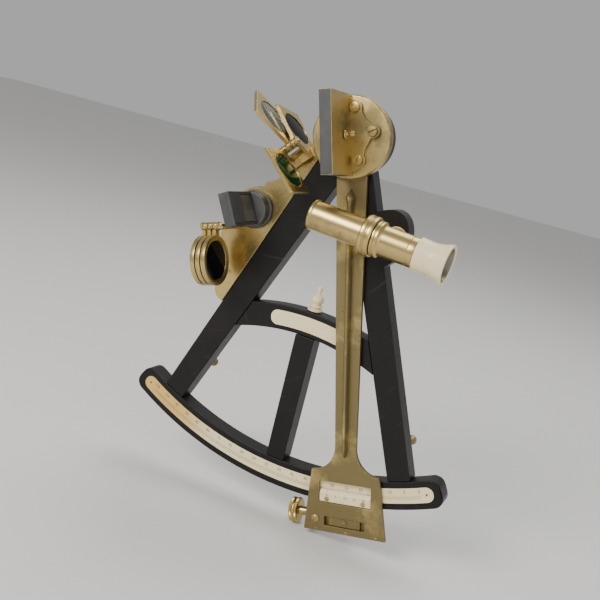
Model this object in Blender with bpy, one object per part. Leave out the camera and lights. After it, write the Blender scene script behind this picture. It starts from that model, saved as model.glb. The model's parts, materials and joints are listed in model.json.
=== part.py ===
"""Nautical octant of the sextant family: ebony frame, brass fittings, ivory scale.

Metres, +Z up. The frame stands upright in the XZ plane with its centre line along Z, and its front
faces -Y. The origin is on the index arm's pivot axis, in the plane that the three feet rest on.
A place on the instrument is given as (x, y, height): x and y lie in the frame's plane, with the
pivot at 0, 0, and height is measured forwards from the wooden frame's front face.
"""
import math

import bmesh
import bpy
from mathutils import Matrix, Vector

# ---------------------------------------------------------------- clearances
GAP = 0.0003                 # left between pieces that touch
RUN = 0.0003                 # radial clearance of a shaft in its hole

# ---------------------------------------------------------------- wooden frame
WOOD = 0.014                 # thickness of every wooden member
FOOT_REACH = 0.027           # feet stand this far behind the wood
LIMB_SPREAD = math.radians(23.2)
HEAD_RADIUS = 0.024
LIMB_INNER_TOP = 0.0092      # half-width towards the centre line, at the head
LIMB_INNER_FOOT = 0.0083     # the same, at the arc
LEFT_OUTER_TOP = 0.0120      # half-width away from the centre line, left limb
LEFT_OUTER_FOOT = 0.0083
RIGHT_OUTER_TOP = 0.0092
RIGHT_OUTER_FOOT = 0.0078
EAR_ALONG = 0.0690           # round ear on the right limb, measured down the limb
EAR_OUT = 0.0112
EAR_RADIUS = 0.0175
ARC_INNER = 0.2315           # sets the size of the whole frame
ARC_OUTER = ARC_INNER + 0.0193
ARC_HALF = math.radians(30.0)
ARC_CORNER = 0.0070
BAR_CENTRE = -0.294          # the cross bar is an arch about this point of the centre line
BAR_INNER = 0.1550
BAR_OUTER = 0.1725
POST_HALF_TOP = 0.0072
POST_HALF_FOOT = 0.0068

# ---------------------------------------------------------------- ivory
INLAY = 0.0015               # thickness of the inlaid ivory
SCALE_INNER = ARC_INNER + 0.0043
SCALE_OUTER = ARC_OUTER - 0.0045
SCALE_HALF = math.radians(28.7)
NOTE_INNER = 0.1581
NOTE_OUTER = 0.1687
NOTE_HALF = 0.0284           # half-length along the bar
PENCIL_RADIUS = 0.0022
PENCIL_REACH = 0.0440        # below the top of the cross bar
PENCIL_DEPTH = -WOOD / 2     # height of its axis, the middle of the wood
FINIAL_HEIGHT = 0.0183

# ---------------------------------------------------------------- pivot
PIVOT_BORE = 0.0050
BUSH_RADIUS = PIVOT_BORE + 0.0030
BUSH_FLANGE = BUSH_RADIUS + 0.0070
BUSH_FLANGE_THICK = 0.0030
NUT_RADIUS = PIVOT_BORE + 0.0022
NUT_THICK = 0.0026

# ---------------------------------------------------------------- index arm
INDEX_REST = math.radians(13.9)      # right of the centre line, as set
ARM_BACK = 0.0008            # clear of the wood and the ivory
ARM_THICK = 0.0030
DISC_RADIUS = 0.0271
DISC_TOP = 0.0080
ARM_HALF_TOP = 0.0107
ARM_HALF_FOOT = 0.0077
FLARE_START = ARC_INNER - 0.0225
PLATE_START = ARC_INNER - 0.0045
PLATE_END = ARC_OUTER + 0.0202
PLATE_HALF_TOP = 0.0248
PLATE_HALF_FOOT = 0.0300
RIB_START = 0.0330
RIB_END = FLARE_START + 0.0070
RIB_HALF = 0.0018
RIB_HEIGHT = 0.0055
WINDOW_INNER = SCALE_INNER - 0.0013
WINDOW_OUTER = SCALE_OUTER + 0.0034
WINDOW_HALF = 0.0190
VERNIER_INNER = (SCALE_INNER + SCALE_OUTER) / 2
VERNIER_THICK = 0.0020
VERNIER_SCREW_OUT = 0.0133
SLOT_INNER = PLATE_END - 0.0113
SLOT_OUTER = PLATE_END - 0.0047
SLOT_HALF = 0.0147

# ---------------------------------------------------------------- index mirror
MIRROR_LEAN = math.radians(2.5)      # on from the arm's own line
MIRROR_UP = 0.0270                   # along the mirror, away from the arc
MIRROR_DOWN = 0.0250
MIRROR_TOP = 0.0440                  # height of its upper edge
BACK_PLATE = 0.0020
BACK_FACE = 0.0014                   # the back plate's rear face, right of the pivot
TRAY_THICK = 0.0057
MIRROR_RIM = 0.0018
MIRROR_GLASS = 0.0022
FLANGE_THICK = 0.0022
BRACKET_SCREWS = ((0.0046, 0.0186), (0.0164, 0.0027), (0.00605, -0.0152))
LOBE_RADIUS = 0.0046

# ---------------------------------------------------------------- tangent screw and clamp
TANGENT_LINE = ARC_OUTER + 0.0112    # distance of the screw from the pivot
TANGENT_HEIGHT = -0.0050
TANGENT_RADIUS = 0.0015
KNOB_RADIUS = 0.00875
KNOB_START = -0.0430
KNOB_THICK = 0.0067
SCREW_END = 0.0140
BEARING_START = -0.0275
BEARING_END = -0.0220
CLAMP_START = -0.0050
CLAMP_END = 0.0070
JAW_THICK = 0.0035
JAW_INNER = ARC_INNER + 0.0065
CLAMP_SCREW_AT = ARC_INNER + 0.0135
CLAMP_SCREW_RADIUS = 0.0020
CLAMP_HEAD_RADIUS = 0.0065

# ---------------------------------------------------------------- horizon plate and mirror
PLATE_THICK = 0.0030
HORIZON_X = -0.0585
HORIZON_Y = -0.0640
HORIZON_LEAN = math.radians(28.9)    # parallel to the index mirror at zero
HORIZON_BASE_RADIUS = 0.0135
HORIZON_BASE_TOP = 0.0100
HORIZON_HALF = 0.0115
HORIZON_THICK = 0.0080
HORIZON_TOP = 0.0420
HORIZON_GLASS_TOP = 0.0260
SPINDLE_RADIUS = 0.0035
LEVER_LENGTH = 0.0340
LEVER_HALF = 0.0040
LEVER_THICK = 0.0030

# ---------------------------------------------------------------- shades
SHADE_THICK = 0.0025
SHADE_PIN_RADIUS = 0.0015
SHADE_LUG = 0.0030
SHADE_GLASS_THICK = 0.0015
SHADE_STEPS = 26                     # facets round a shade's glass
INDEX_SHADE_X = -0.0424              # the path-side shade's hinge
INDEX_SHADE_Y = -0.0190
INDEX_SHADE_HEIGHT = 0.0100
INDEX_SHADE_LEAN = math.radians(47.6)
INDEX_SHADE_PITCH = 0.0038
INDEX_SHADE_LONG = 0.0340
INDEX_SHADE_TALL = 0.0280
INDEX_SHADE_HOLE = 0.0126
INDEX_SHADE_SWINGS = (0.0, 138.0, 193.0)
HORIZON_SHADE_X = -0.0768            # the middle shade's hinge
HORIZON_SHADE_Y = -0.0809
HORIZON_SHADE_HEIGHT = 0.0240
HORIZON_SHADE_LEAN = math.radians(17.0)
HORIZON_SHADE_PITCH = 0.0040
HORIZON_SHADE_FORE = 0.0040
HORIZON_SHADE_RADIUS = 0.0172
HORIZON_SHADE_HOLE = HORIZON_SHADE_RADIUS - 0.0038
HORIZON_SHADE_DROP = HORIZON_SHADE_RADIUS + 0.0058
SHADE_POST_RADIUS = 0.0024
EAR_THICK = 0.0022

# ---------------------------------------------------------------- telescope
SCOPE_X = -0.0062                    # a place on its line, above the arm
SCOPE_Y = -0.0524
SCOPE_HEIGHT = 0.0280
SCOPE_DIP = math.radians(3.93)
TUBE_RADIUS = 0.0097
TUBE_WALL = 0.0009
OBJECTIVE = 0.0018                   # the tube's front end, from that centre
BEAD_RADIUS = TUBE_RADIUS + 0.00055
COLLAR_START = 0.0391
COLLAR_END = 0.0467
COLLAR_RADIUS = TUBE_RADIUS + 0.0035
SHOULDER_END = 0.0523
SHOULDER_RADIUS = TUBE_RADIUS + 0.00205
TUBE_END = 0.0749
DRAW_WALL = 0.0007
DRAW_INSIDE = 0.0190                 # length of draw tube held inside the main tube
CUP_LENGTH = 0.0208
CUP_RADIUS = TUBE_RADIUS + 0.0013
CUP_WAIST = TUBE_RADIUS + 0.0008
CUP_RIM = TUBE_RADIUS + 0.00355
CUP_MOUTH = TUBE_RADIUS + 0.00165
STEM_ALONG = 0.0513
STEM_RADIUS = 0.0035
STEM_BACK = -WOOD - 0.0100
SEAT_RADIUS = 0.0080
SEAT_THICK = 0.0025
SEAT_WALL = 0.0017
RISE_NUT_RADIUS = 0.0065
RISE_NUT_THICK = 0.0040

BACK = -WOOD                         # height of the wood's rear face
REST_PLANE = -(WOOD + FOOT_REACH)    # height of the plane under the feet


# ================================================================ scene and materials
def clear_scene():
    """Remove whatever the file holds."""
    for item in list(bpy.data.objects):
        bpy.data.objects.remove(item, do_unlink=True)


def finish(name, colour, metallic, roughness, alpha=1.0):
    """One Principled material."""
    material = bpy.data.materials.new(name)
    material.use_nodes = True
    shader = material.node_tree.nodes["Principled BSDF"]
    shader.inputs["Base Color"].default_value = (*colour, 1.0)
    shader.inputs["Metallic"].default_value = metallic
    shader.inputs["Roughness"].default_value = roughness
    shader.inputs["Alpha"].default_value = alpha
    material.diffuse_color = (*colour, alpha)
    return material


clear_scene()
EBONY = finish("ebony", (0.012, 0.011, 0.011), 0.0, 0.38)
BRASS = finish("brass", (0.60, 0.43, 0.17), 1.0, 0.34)
IVORY = finish("ivory", (0.82, 0.72, 0.48), 0.0, 0.42)
BONE = finish("white_ivory", (0.86, 0.80, 0.66), 0.0, 0.40)
STEEL = finish("steel", (0.42, 0.42, 0.42), 1.0, 0.35)
DARK = finish("oxidised", (0.10, 0.11, 0.12), 0.6, 0.55)
SILVER = finish("mirror", (0.75, 0.78, 0.78), 1.0, 0.06)
LENS = finish("lens_glass", (0.80, 0.88, 0.86), 0.0, 0.03, 0.35)
GREEN = finish("green_glass", (0.01, 0.10, 0.03), 0.0, 0.05, 0.75)
CLEAR = finish("clear_glass", (0.62, 0.66, 0.60), 0.0, 0.05, 0.40)
SMOKE = finish("smoke_glass", (0.02, 0.02, 0.03), 0.0, 0.05, 0.85)


# ================================================================ modelling helpers
def point(x, y, height):
    """A place on the instrument, in world coordinates."""
    return Vector((x, REST_PLANE - height, y))


def empty(name, location, rotation=(0.0, 0.0, 0.0), parent=None):
    """A joint's axis, or the seat of a sub-assembly."""
    holder = bpy.data.objects.new(name, None)
    holder.empty_display_size = 0.01
    bpy.context.scene.collection.objects.link(holder)
    holder.location = location
    holder.rotation_euler = rotation
    holder.parent = parent
    return holder


def piece(name, bm, material, parent=None, matrix=None):
    """Turn a bmesh into a named object with outward faces."""
    bmesh.ops.recalc_face_normals(bm, faces=bm.faces)
    mesh = bpy.data.meshes.new(name)
    bm.to_mesh(mesh)
    bm.free()
    mesh.shade_smooth()
    mesh.set_sharp_from_angle(angle=math.radians(32.0))
    mesh.materials.append(material)
    item = bpy.data.objects.new(name, mesh)
    bpy.context.scene.collection.objects.link(item)
    item.parent = parent
    if matrix is not None:
        item.location = matrix.to_translation()
        item.rotation_euler = matrix.to_euler()
    return item


def boolean(target, tool, operation):
    """Cut or join, leaving the tool in place as a guide."""
    tool.hide_render = True
    tool.display_type = "WIRE"
    modifier = target.modifiers.new(tool.name, "BOOLEAN")
    modifier.operation = operation
    modifier.solver = "EXACT"
    modifier.object = tool
    return target


def cut(target, *tools):
    """Take each tool's shape away from the target."""
    for tool in tools:
        boolean(target, tool, "DIFFERENCE")
    return target


def join(target, *tools):
    """Add each tool's shape to the target."""
    for tool in tools:
        boolean(target, tool, "UNION")
    return target


def slab_mesh(outlines, low, high):
    """Closed plates with the given (x, y) outlines, between two heights."""
    bm = bmesh.new()
    for outline in outlines:
        face = bm.faces.new([bm.verts.new((x, -low, y)) for x, y in outline])
        grown = bmesh.ops.extrude_face_region(bm, geom=[face])["geom"]
        moved = [part for part in grown if isinstance(part, bmesh.types.BMVert)]
        bmesh.ops.translate(bm, verts=moved, vec=(0.0, low - high, 0.0))
    return bm


def slab(name, outline, low, high, material, parent):
    """A plate in the frame's plane."""
    return piece(name, slab_mesh([outline], low, high), material, parent)


def turned(name, profile, base, direction, material, parent=None, steps=24):
    """Turn a closed (radius, along) profile about a line through base."""
    bm = bmesh.new()
    verts = [bm.verts.new((radius, 0.0, along)) for radius, along in profile]
    edges = [bm.edges.new(pair) for pair in zip(verts, verts[1:])]
    if min(radius for radius, _ in profile) > 0.0:
        edges.append(bm.edges.new((verts[-1], verts[0])))
    bmesh.ops.spin(bm, geom=verts + edges, cent=(0, 0, 0), axis=(0, 0, 1), dvec=(0, 0, 0),
                   angle=math.tau, steps=steps, use_merge=True, use_duplicate=False)
    bmesh.ops.remove_doubles(bm, verts=bm.verts, dist=1e-6)
    turn = Vector(direction).to_track_quat("Z", "Y").to_matrix().to_4x4()
    return piece(name, bm, material, parent, Matrix.Translation(base) @ turn)


def rod(radius, start, end):
    """Profile of a plain cylinder."""
    return [(0.0, start), (radius, start), (radius, end), (0.0, end)]


def tube(outer, inner, start, end):
    """Profile of a plain tube."""
    return [(outer, start), (outer, end), (inner, end), (inner, start)]


def arc(cx, cy, radius, start, end, steps):
    """Points from one angle to another, in radians from +x."""
    turns = [start + (end - start) * i / steps for i in range(steps + 1)]
    return [(cx + radius * math.cos(a), cy + radius * math.sin(a)) for a in turns]


def box_outline(left, right, low, high):
    """A rectangle."""
    return [(left, low), (right, low), (right, high), (left, high)]


def sector(cy, inner, outer, half, corner, facing, steps):
    """A curved strip about (0, cy), opening towards facing (+1 up, -1 down), with round corners."""
    middle = facing * math.pi / 2
    quarter = math.pi / 2
    far, near = outer - corner, inner + corner
    outer_lean = half - math.asin(corner / far)
    inner_lean = half - math.asin(corner / near)

    def bend(side, reach, lean, start):
        """One round corner, its centre at reach from (0, cy)."""
        turn = middle + side * lean
        cx, up = reach * math.cos(turn), reach * math.sin(turn)
        return arc(cx, cy + up, corner, turn + start, turn + start + quarter, 5)

    points = arc(0.0, cy, outer, middle - outer_lean, middle + outer_lean, steps)[1:-1]
    points += bend(1, far, outer_lean, 0.0) + bend(1, near, inner_lean, quarter)
    points += arc(0.0, cy, inner, middle + inner_lean, middle - inner_lean, steps)[1:-1]
    return points + bend(-1, near, inner_lean, -math.pi) + bend(-1, far, outer_lean, -quarter)


def line_circle(start, end, cy, radius):
    """Where the line from start through end leaves the circle about (0, cy)."""
    a, b = Vector(start), Vector(end)
    way = (b - a).normalized()
    offset = a - Vector((0.0, cy))
    half = offset.dot(way)
    return a + way * (-half + math.sqrt(half * half - offset.length_squared + radius * radius))


def limb_width(top, foot, along):
    """Half-width of a limb at a distance from the pivot."""
    return top + (foot - top) * (along - HEAD_RADIUS) / (ARC_INNER - HEAD_RADIUS)


def on_limb(side, along, out):
    """Frame place from a place on a limb: along it, and outwards from its centre line."""
    spread = side * LIMB_SPREAD
    return (along * math.sin(spread) + side * out * math.cos(spread),
            -along * math.cos(spread) + out * math.sin(abs(spread)))


# ================================================================ wooden frame
def limb_outline(side, outer_top, outer_foot, ear):
    """One limb from the head to the arc, ends hollowed and rounded to meet them."""
    head = HEAD_RADIUS + GAP
    foot = ARC_INNER - GAP
    corners = {}
    for key, radius in (("top", head), ("foot", foot)):
        inner = limb_width(LIMB_INNER_TOP, LIMB_INNER_FOOT, radius)
        outer = limb_width(outer_top, outer_foot, radius)
        corners[key] = (math.asin(inner / radius), math.asin(outer / radius))
    points = []
    for turn, radius in ((1, head), (-1, foot)):
        inner, outer = corners["top" if turn > 0 else "foot"]
        leans = [-inner + (inner + outer) * i / 6 for i in range(7)][::turn]
        points += [(radius * math.cos(lean), radius * math.sin(lean)) for lean in leans]
        if turn > 0 and ear:
            edge = limb_width(outer_top, outer_foot, EAR_ALONG)
            open_angle = math.acos((edge - EAR_OUT) / EAR_RADIUS)
            points += arc(EAR_ALONG, EAR_OUT, EAR_RADIUS, math.pi / 2 + open_angle,
                          math.pi / 2 - open_angle, 20)
    return [on_limb(side, along, out) for along, out in points]


def plate_outline():
    """The horizon plate's edge on the left limb, as (along, out) turned into frame places."""
    edge_top = (0.0262, limb_width(LEFT_OUTER_TOP, LEFT_OUTER_FOOT, 0.0262) + GAP)
    edge_foot = (0.1510, limb_width(LEFT_OUTER_TOP, LEFT_OUTER_FOOT, 0.1510) + GAP)
    swell = [(0.0739, 0.0413), (0.0790, 0.0438), (0.0850, 0.0453), (0.0925, 0.0454),
             (0.1004, 0.0439), (0.1080, 0.0415), (0.1146, 0.0389), (0.1235, 0.0338),
             (0.1318, 0.0284), (0.1400, 0.0240), (0.1475, 0.0200), (0.1502, 0.0170)]
    points = [edge_foot, edge_top, (0.0185, 0.0183), (0.0165, 0.0212), (0.0195, 0.0222),
              (0.0440, 0.0226), (0.0566, 0.0286), (0.0619, 0.0331), (0.0656, 0.0332),
              (0.0680, 0.0350), (0.0702, 0.0393)] + swell + [(0.1512, 0.0134)]
    return [on_limb(-1, along, out) for along, out in points]


def wooden_frame():
    """Head, limbs, cross bar, centre post and arc."""
    head = [(HEAD_RADIUS, BACK), (HEAD_RADIUS, 0.0), (BUSH_FLANGE + GAP, 0.0),
            (BUSH_FLANGE + GAP, -BUSH_FLANGE_THICK - GAP),
            (BUSH_RADIUS + GAP, -BUSH_FLANGE_THICK - GAP), (BUSH_RADIUS + GAP, BACK)]
    turned("head_block", head, point(0, 0, 0), (0, -1, 0), EBONY, steps=32)

    left = slab("left_limb", limb_outline(-1, LEFT_OUTER_TOP, LEFT_OUTER_FOOT, False),
                BACK, 0.0, EBONY, FRAME)
    lobe = plate_outline()
    lobe[0] = on_limb(-1, 0.1510, 0.0)
    lobe[1] = on_limb(-1, 0.0275, 0.0)
    join(left, slab("lobe_guide", lobe, BACK, -PLATE_THICK - GAP, EBONY, FRAME))
    cut(left, drill("spindle_hole", [(HORIZON_X, HORIZON_Y)], SPINDLE_RADIUS + RUN,
                    BACK - 0.001, 0.001, FRAME))

    right = slab("right_limb", limb_outline(1, RIGHT_OUTER_TOP, RIGHT_OUTER_FOOT, True),
                 BACK, 0.0, EBONY, FRAME)
    seat = STEM_RADIUS + RUN + SEAT_WALL + GAP
    step = -SEAT_THICK - GAP
    bore = [(0.0, BACK - 0.001), (seat, BACK - 0.001), (seat, step), (SEAT_RADIUS + GAP, step),
            (SEAT_RADIUS + GAP, 0.001), (0.0, 0.001)]
    cut(right, turned("seat_bore", bore, point(*stem_place(), 0.0), (0, -1, 0), EBONY))

    arc_limb = slab("arc_limb", sector(0.0, ARC_INNER, ARC_OUTER, ARC_HALF, ARC_CORNER, -1, 36),
                    BACK, 0.0, EBONY, FRAME)
    cut(arc_limb, slab("scale_groove", scale_outline(GAP), -INLAY - GAP, 0.001, EBONY, FRAME))

    bar = slab("cross_bar", bar_outline(), BACK, 0.0, EBONY, FRAME)
    cut(bar, slab("note_groove", note_outline(GAP), -INLAY - GAP, 0.001, EBONY, FRAME),
        pencil_bore("bar_bore"))

    foot = ARC_INNER - GAP
    top = BAR_INNER - GAP
    lean = math.asin(POST_HALF_FOOT / foot)
    rise = math.asin(POST_HALF_TOP / top)
    outline = arc(0.0, 0.0, foot, -math.pi / 2 - lean, -math.pi / 2 + lean, 3)
    outline += arc(0.0, BAR_CENTRE, top, math.pi / 2 - rise, math.pi / 2 + rise, 3)
    cut(slab("centre_post", outline, BACK, 0.0, EBONY, FRAME), pencil_bore("post_bore"))


def bar_outline():
    """The arch between the limbs' inner edges."""
    edge = []
    for along in (ARC_INNER, HEAD_RADIUS):
        edge.append(on_limb(1, along, -limb_width(LIMB_INNER_TOP, LIMB_INNER_FOOT, along) - GAP))
    lower, upper = (line_circle(*edge, BAR_CENTRE, radius) for radius in (BAR_INNER, BAR_OUTER))
    lower = math.atan2(lower.x, lower.y - BAR_CENTRE)
    upper = math.atan2(upper.x, upper.y - BAR_CENTRE)
    points = arc(0.0, BAR_CENTRE, BAR_INNER, math.pi / 2 - lower, math.pi / 2 + lower, 16)
    return points + arc(0.0, BAR_CENTRE, BAR_OUTER, math.pi / 2 + upper, math.pi / 2 - upper, 16)


def scale_outline(grow):
    """The scale strip, or its groove when grown."""
    corner = (SCALE_OUTER - SCALE_INNER) / 2 + grow - 0.00005
    half = SCALE_HALF + grow / SCALE_OUTER
    return sector(0.0, SCALE_INNER - grow, SCALE_OUTER + grow, half, corner, -1, 36)


def note_outline(grow):
    """The note plate on the cross bar, or its groove when grown."""
    corner = (NOTE_OUTER - NOTE_INNER) / 2 + grow - 0.00005
    half = (NOTE_HALF + grow) / ((NOTE_INNER + NOTE_OUTER) / 2)
    return sector(BAR_CENTRE, NOTE_INNER - grow, NOTE_OUTER + grow, half, corner, 1, 12)


def drill(name, places, radius, low, high, parent, steps=16):
    """One cutter of round holes along the height direction."""
    outlines = [arc(x, y, radius, 0.0, math.tau * (1 - 1 / steps), steps - 1) for x, y in places]
    return piece(name, slab_mesh(outlines, low, high), BRASS, parent)


def pencil_bore(name):
    """The pencil's hole down the middle of the wood."""
    top = BAR_CENTRE + BAR_OUTER
    return turned(name, rod(PENCIL_RADIUS + RUN, -0.002, PENCIL_REACH + 0.001),
                  point(0.0, top, PENCIL_DEPTH), (0, 0, -1), EBONY, steps=16)


def inlays():
    """Ivory scale, note plate and pencil."""
    slab("scale_strip", scale_outline(0.0), -INLAY, 0.0, IVORY, FRAME)
    slab("note_plate", note_outline(0.0), -INLAY, 0.0, IVORY, FRAME)
    h = FINIAL_HEIGHT
    outline = [(0.0, h), (0.0012, h - 0.0004), (0.0021, h - 0.0016), (0.0021, h - 0.0030),
               (0.0013, h - 0.0044), (0.0016, h - 0.0055), (0.0040, h - 0.0072),
               (0.0047, h - 0.0095), (0.0040, h - 0.0118), (0.0034, h - 0.0132),
               (0.0047, h - 0.0142), (0.0047, h - 0.0151), (0.0032, h - 0.0160),
               (0.0053, h - 0.0168), (0.0053, GAP), (PENCIL_RADIUS, GAP),
               (PENCIL_RADIUS, -PENCIL_REACH + 0.004), (0.0, -PENCIL_REACH)]
    turned("pencil", outline, point(0.0, BAR_CENTRE + BAR_OUTER, PENCIL_DEPTH), (0, 0, 1), BONE,
           steps=14)


# ================================================================ pivot and feet
def pivot_and_feet():
    """Bush in the head, the arm's axle and nut, and the three feet."""
    front = point(0, 0, 0)
    bore = PIVOT_BORE + RUN
    bush = [(BUSH_FLANGE, -BUSH_FLANGE_THICK), (BUSH_FLANGE, 0.0), (bore, 0.0), (bore, BACK),
            (BUSH_RADIUS, BACK), (BUSH_RADIUS, -BUSH_FLANGE_THICK)]
    turned("pivot_bush", bush, front, (0, -1, 0), BRASS, steps=28)
    nut_front = BACK - 0.0004
    nut_back = nut_front - NUT_THICK
    turned("index_axle", rod(PIVOT_BORE, nut_back - 0.0006, ARM_BACK - GAP), local_point(0, 0, 0),
           (0, -1, 0), STEEL, ARM)
    turned("axle_nut", tube(NUT_RADIUS, PIVOT_BORE + GAP, nut_back, nut_front),
           local_point(0, 0, 0), (0, -1, 0), BRASS, ARM)
    inside = nut_back - 0.0014
    room = NUT_RADIUS + 0.0010
    cap = [(0.0, REST_PLANE), (0.0060, REST_PLANE), (0.0072, REST_PLANE + 0.0008),
           (0.0076, REST_PLANE + 0.0030), (0.0062, REST_PLANE + 0.0070), (0.0066, BACK - 0.0110),
           (room + 0.0010, BACK - 0.0075), (room + 0.0022, BACK - 0.0050), (room + 0.0026, BACK - GAP),
           (room, BACK - GAP), (room, inside), (0.0, inside)]
    turned("apex_foot", cap, front, (0, -1, 0), BRASS)
    reach = -FOOT_REACH
    knob = [(0.0, reach), (0.0026, reach), (0.0034, reach + 0.0010), (0.0036, reach + 0.0024),
            (0.0031, reach + 0.0040), (0.0022, reach + 0.0052), (0.0026, reach + 0.0120),
            (0.0029, -0.0050), (0.0040, -0.0036), (0.0042, -0.0018), (0.0036, -GAP), (0.0, -GAP)]
    for name, side, along in (("left_foot", -1, ARC_INNER - 0.0205), ("right_foot", 1, ARC_INNER - 0.0190)):
        turned(name, knob, point(*on_limb(side, along, 0.0), BACK), (0, -1, 0), BRASS, steps=16)


# ================================================================ index arm
def arm_outline():
    """The arm and its flared index plate, the arm running down from the pivot."""
    right = [(ARM_HALF_TOP, -0.020), (ARM_HALF_FOOT, -FLARE_START)]
    rise = PLATE_START - FLARE_START
    spread = PLATE_HALF_TOP - ARM_HALF_FOOT
    for i in range(1, 9):
        turn = i / 8 * math.pi / 2
        right.append((PLATE_HALF_TOP - spread * math.cos(turn), -FLARE_START - rise * math.sin(turn)))
    right += [(PLATE_HALF_FOOT - 0.0002, -PLATE_END + 0.0015), (PLATE_HALF_FOOT - 0.0016, -PLATE_END)]
    return right + [(-x, y) for x, y in reversed(right)]


def index_arm():
    """Arm with disc, rib, window and slot, and the ivory vernier."""
    top = ARM_BACK + ARM_THICK
    arm = slab("index_arm", arm_outline(), ARM_BACK, top, BRASS, ARM)
    disc = turned("disc_guide", rod(DISC_RADIUS, ARM_BACK, DISC_TOP), local_point(0, 0, 0),
                  (0, -1, 0), BRASS, ARM, steps=44)
    crest = top + RIB_HEIGHT
    low = top - 0.0010
    profile = [(RIB_START, low), (RIB_START + 0.0035, crest), (RIB_END - 0.0060, crest), (RIB_END, low)]
    bm = bmesh.new()
    side = [bm.verts.new((-RIB_HALF, -height, -along)) for along, height in profile]
    grown = bmesh.ops.extrude_face_region(bm, geom=[bm.faces.new(side)])["geom"]
    bmesh.ops.translate(bm, verts=[v for v in grown if isinstance(v, bmesh.types.BMVert)],
                        vec=(2 * RIB_HALF, 0.0, 0.0))
    join(arm, disc, piece("rib_guide", bm, BRASS, ARM))
    window = box_outline(-WINDOW_HALF, WINDOW_HALF, -WINDOW_OUTER, -WINDOW_INNER)
    slot = box_outline(-SLOT_HALF, SLOT_HALF, -SLOT_OUTER, -SLOT_INNER)
    both = slab_mesh([window, slot], ARM_BACK - 0.001, top + 0.001)
    openings = piece("arm_openings", both, BRASS, ARM)
    holes = drill("disc_holes", [turn_place(x, y) for x, y in BRACKET_SCREWS], 0.0018,
                  DISC_TOP - 0.0040, DISC_TOP + 0.001, ARM, 12)
    cut(arm, openings, holes)

    half = WINDOW_HALF - GAP
    outline = box_outline(-half, half, -WINDOW_OUTER + GAP, -VERNIER_INNER)
    low = ARM_BACK + 0.0001
    vernier = slab("vernier", outline, low, low + VERNIER_THICK, IVORY, ARM)
    line = (WINDOW_OUTER + VERNIER_INNER) / 2 + 0.0019
    places = [(-VERNIER_SCREW_OUT, -line), (VERNIER_SCREW_OUT, -line)]
    cut(vernier, drill("vernier_holes", places, 0.0009, low - 0.001, low + 0.004, ARM, 12))
    for name, (x, y) in zip(("vernier_screw_left", "vernier_screw_right"), places):
        head = [(0.0, low + 0.0001), (0.0006, low + 0.0001), (0.0006, low + VERNIER_THICK + GAP),
                (0.0015, low + VERNIER_THICK + GAP), (0.0013, low + VERNIER_THICK + 0.0010),
                (0.0, low + VERNIER_THICK + 0.0012)]
        turned(name, head, local_point(x, y, 0), (0, -1, 0), BRASS, ARM, steps=12)


def turn_place(x, y):
    """A place in the mirror's own lines, given in the arm's."""
    c, s = math.cos(MIRROR_LEAN), math.sin(MIRROR_LEAN)
    return (x * c - y * s, x * s + y * c)


def local_point(x, y, height):
    """A place on a sub-assembly whose holder already stands in the wood's front face."""
    return Vector((x, -height, y))


# ================================================================ index mirror
def index_mirror():
    """Bracket with three lobes, mirror tray, glass and screws."""
    foot = DISC_TOP + GAP
    face = BACK_FACE
    top = foot + FLANGE_THICK
    (ax, ay), (bx, by), (cx, cy) = BRACKET_SCREWS
    r = LOBE_RADIUS
    outline = [(face - 0.0010, -MIRROR_DOWN + 0.0020), (face + 0.0020, -MIRROR_DOWN + 0.0030)]
    outline += arc(cx, cy, r, math.radians(-70), math.radians(45), 6)
    outline += [(cx + 0.0044, cy + 0.0066)]
    outline += arc(bx, by, r, math.radians(-95), math.radians(100), 9)
    outline += [(ax + 0.0062, ay - 0.0068)]
    outline += arc(ax, ay, r, math.radians(-35), math.radians(80), 6)
    outline += [(face + 0.0010, MIRROR_UP - 0.0025), (face - 0.0010, MIRROR_UP - 0.0020)]
    flange = slab("mirror_bracket", outline, foot, top, BRASS, MIRROR)
    plate = slab("back_plate_guide", box_outline(face - BACK_PLATE, face, -MIRROR_DOWN, MIRROR_UP),
                 foot, MIRROR_TOP, BRASS, MIRROR)
    join(flange, plate)
    cut(flange, drill("flange_holes", BRACKET_SCREWS, 0.0018, foot - 0.001, top + 0.001, MIRROR, 12))
    for number, (x, y) in enumerate(BRACKET_SCREWS, 1):
        head = [(0.0, DISC_TOP - 0.0035), (0.0015, DISC_TOP - 0.0035), (0.0015, top + GAP),
                (0.0032, top + GAP), (0.0032, top + 0.0014), (0.0024, top + 0.0021),
                (0.0, top + 0.0023)]
        turned(f"bracket_screw_{number}", head, local_point(x, y, 0), (0, -1, 0), BRASS, MIRROR,
               steps=16)

    tray_back = face - BACK_PLATE - GAP
    tray_face = tray_back - TRAY_THICK
    tray = slab("index_mirror_frame", box_outline(tray_face, tray_back, -MIRROR_DOWN, MIRROR_UP),
                foot, MIRROR_TOP, DARK, MIRROR)
    seat = tray_face + MIRROR_GLASS
    rim = MIRROR_RIM
    cut(tray, slab("mirror_recess",
                   box_outline(tray_face - 0.001, seat + GAP, -MIRROR_DOWN + rim, MIRROR_UP - rim),
                   foot + rim, MIRROR_TOP - rim, DARK, MIRROR))
    rim += GAP
    slab("index_mirror_glass", box_outline(tray_face, seat, -MIRROR_DOWN + rim, MIRROR_UP - rim),
         foot + rim, MIRROR_TOP - rim, SILVER, MIRROR)
    screw = [(0.0, 0.0004), (0.0030, 0.0004), (0.0030, 0.0012), (0.0012, 0.0018), (0.0012, 0.0036),
             (0.0021, 0.0046), (0.0023, 0.0060), (0.0014, 0.0072), (0.0, 0.0074)]
    turned("mirror_adjusting_screw", screw, local_point(face, 0.0005, 0.0220), (1, 0, 0), BRASS,
           MIRROR, steps=16)


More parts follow.
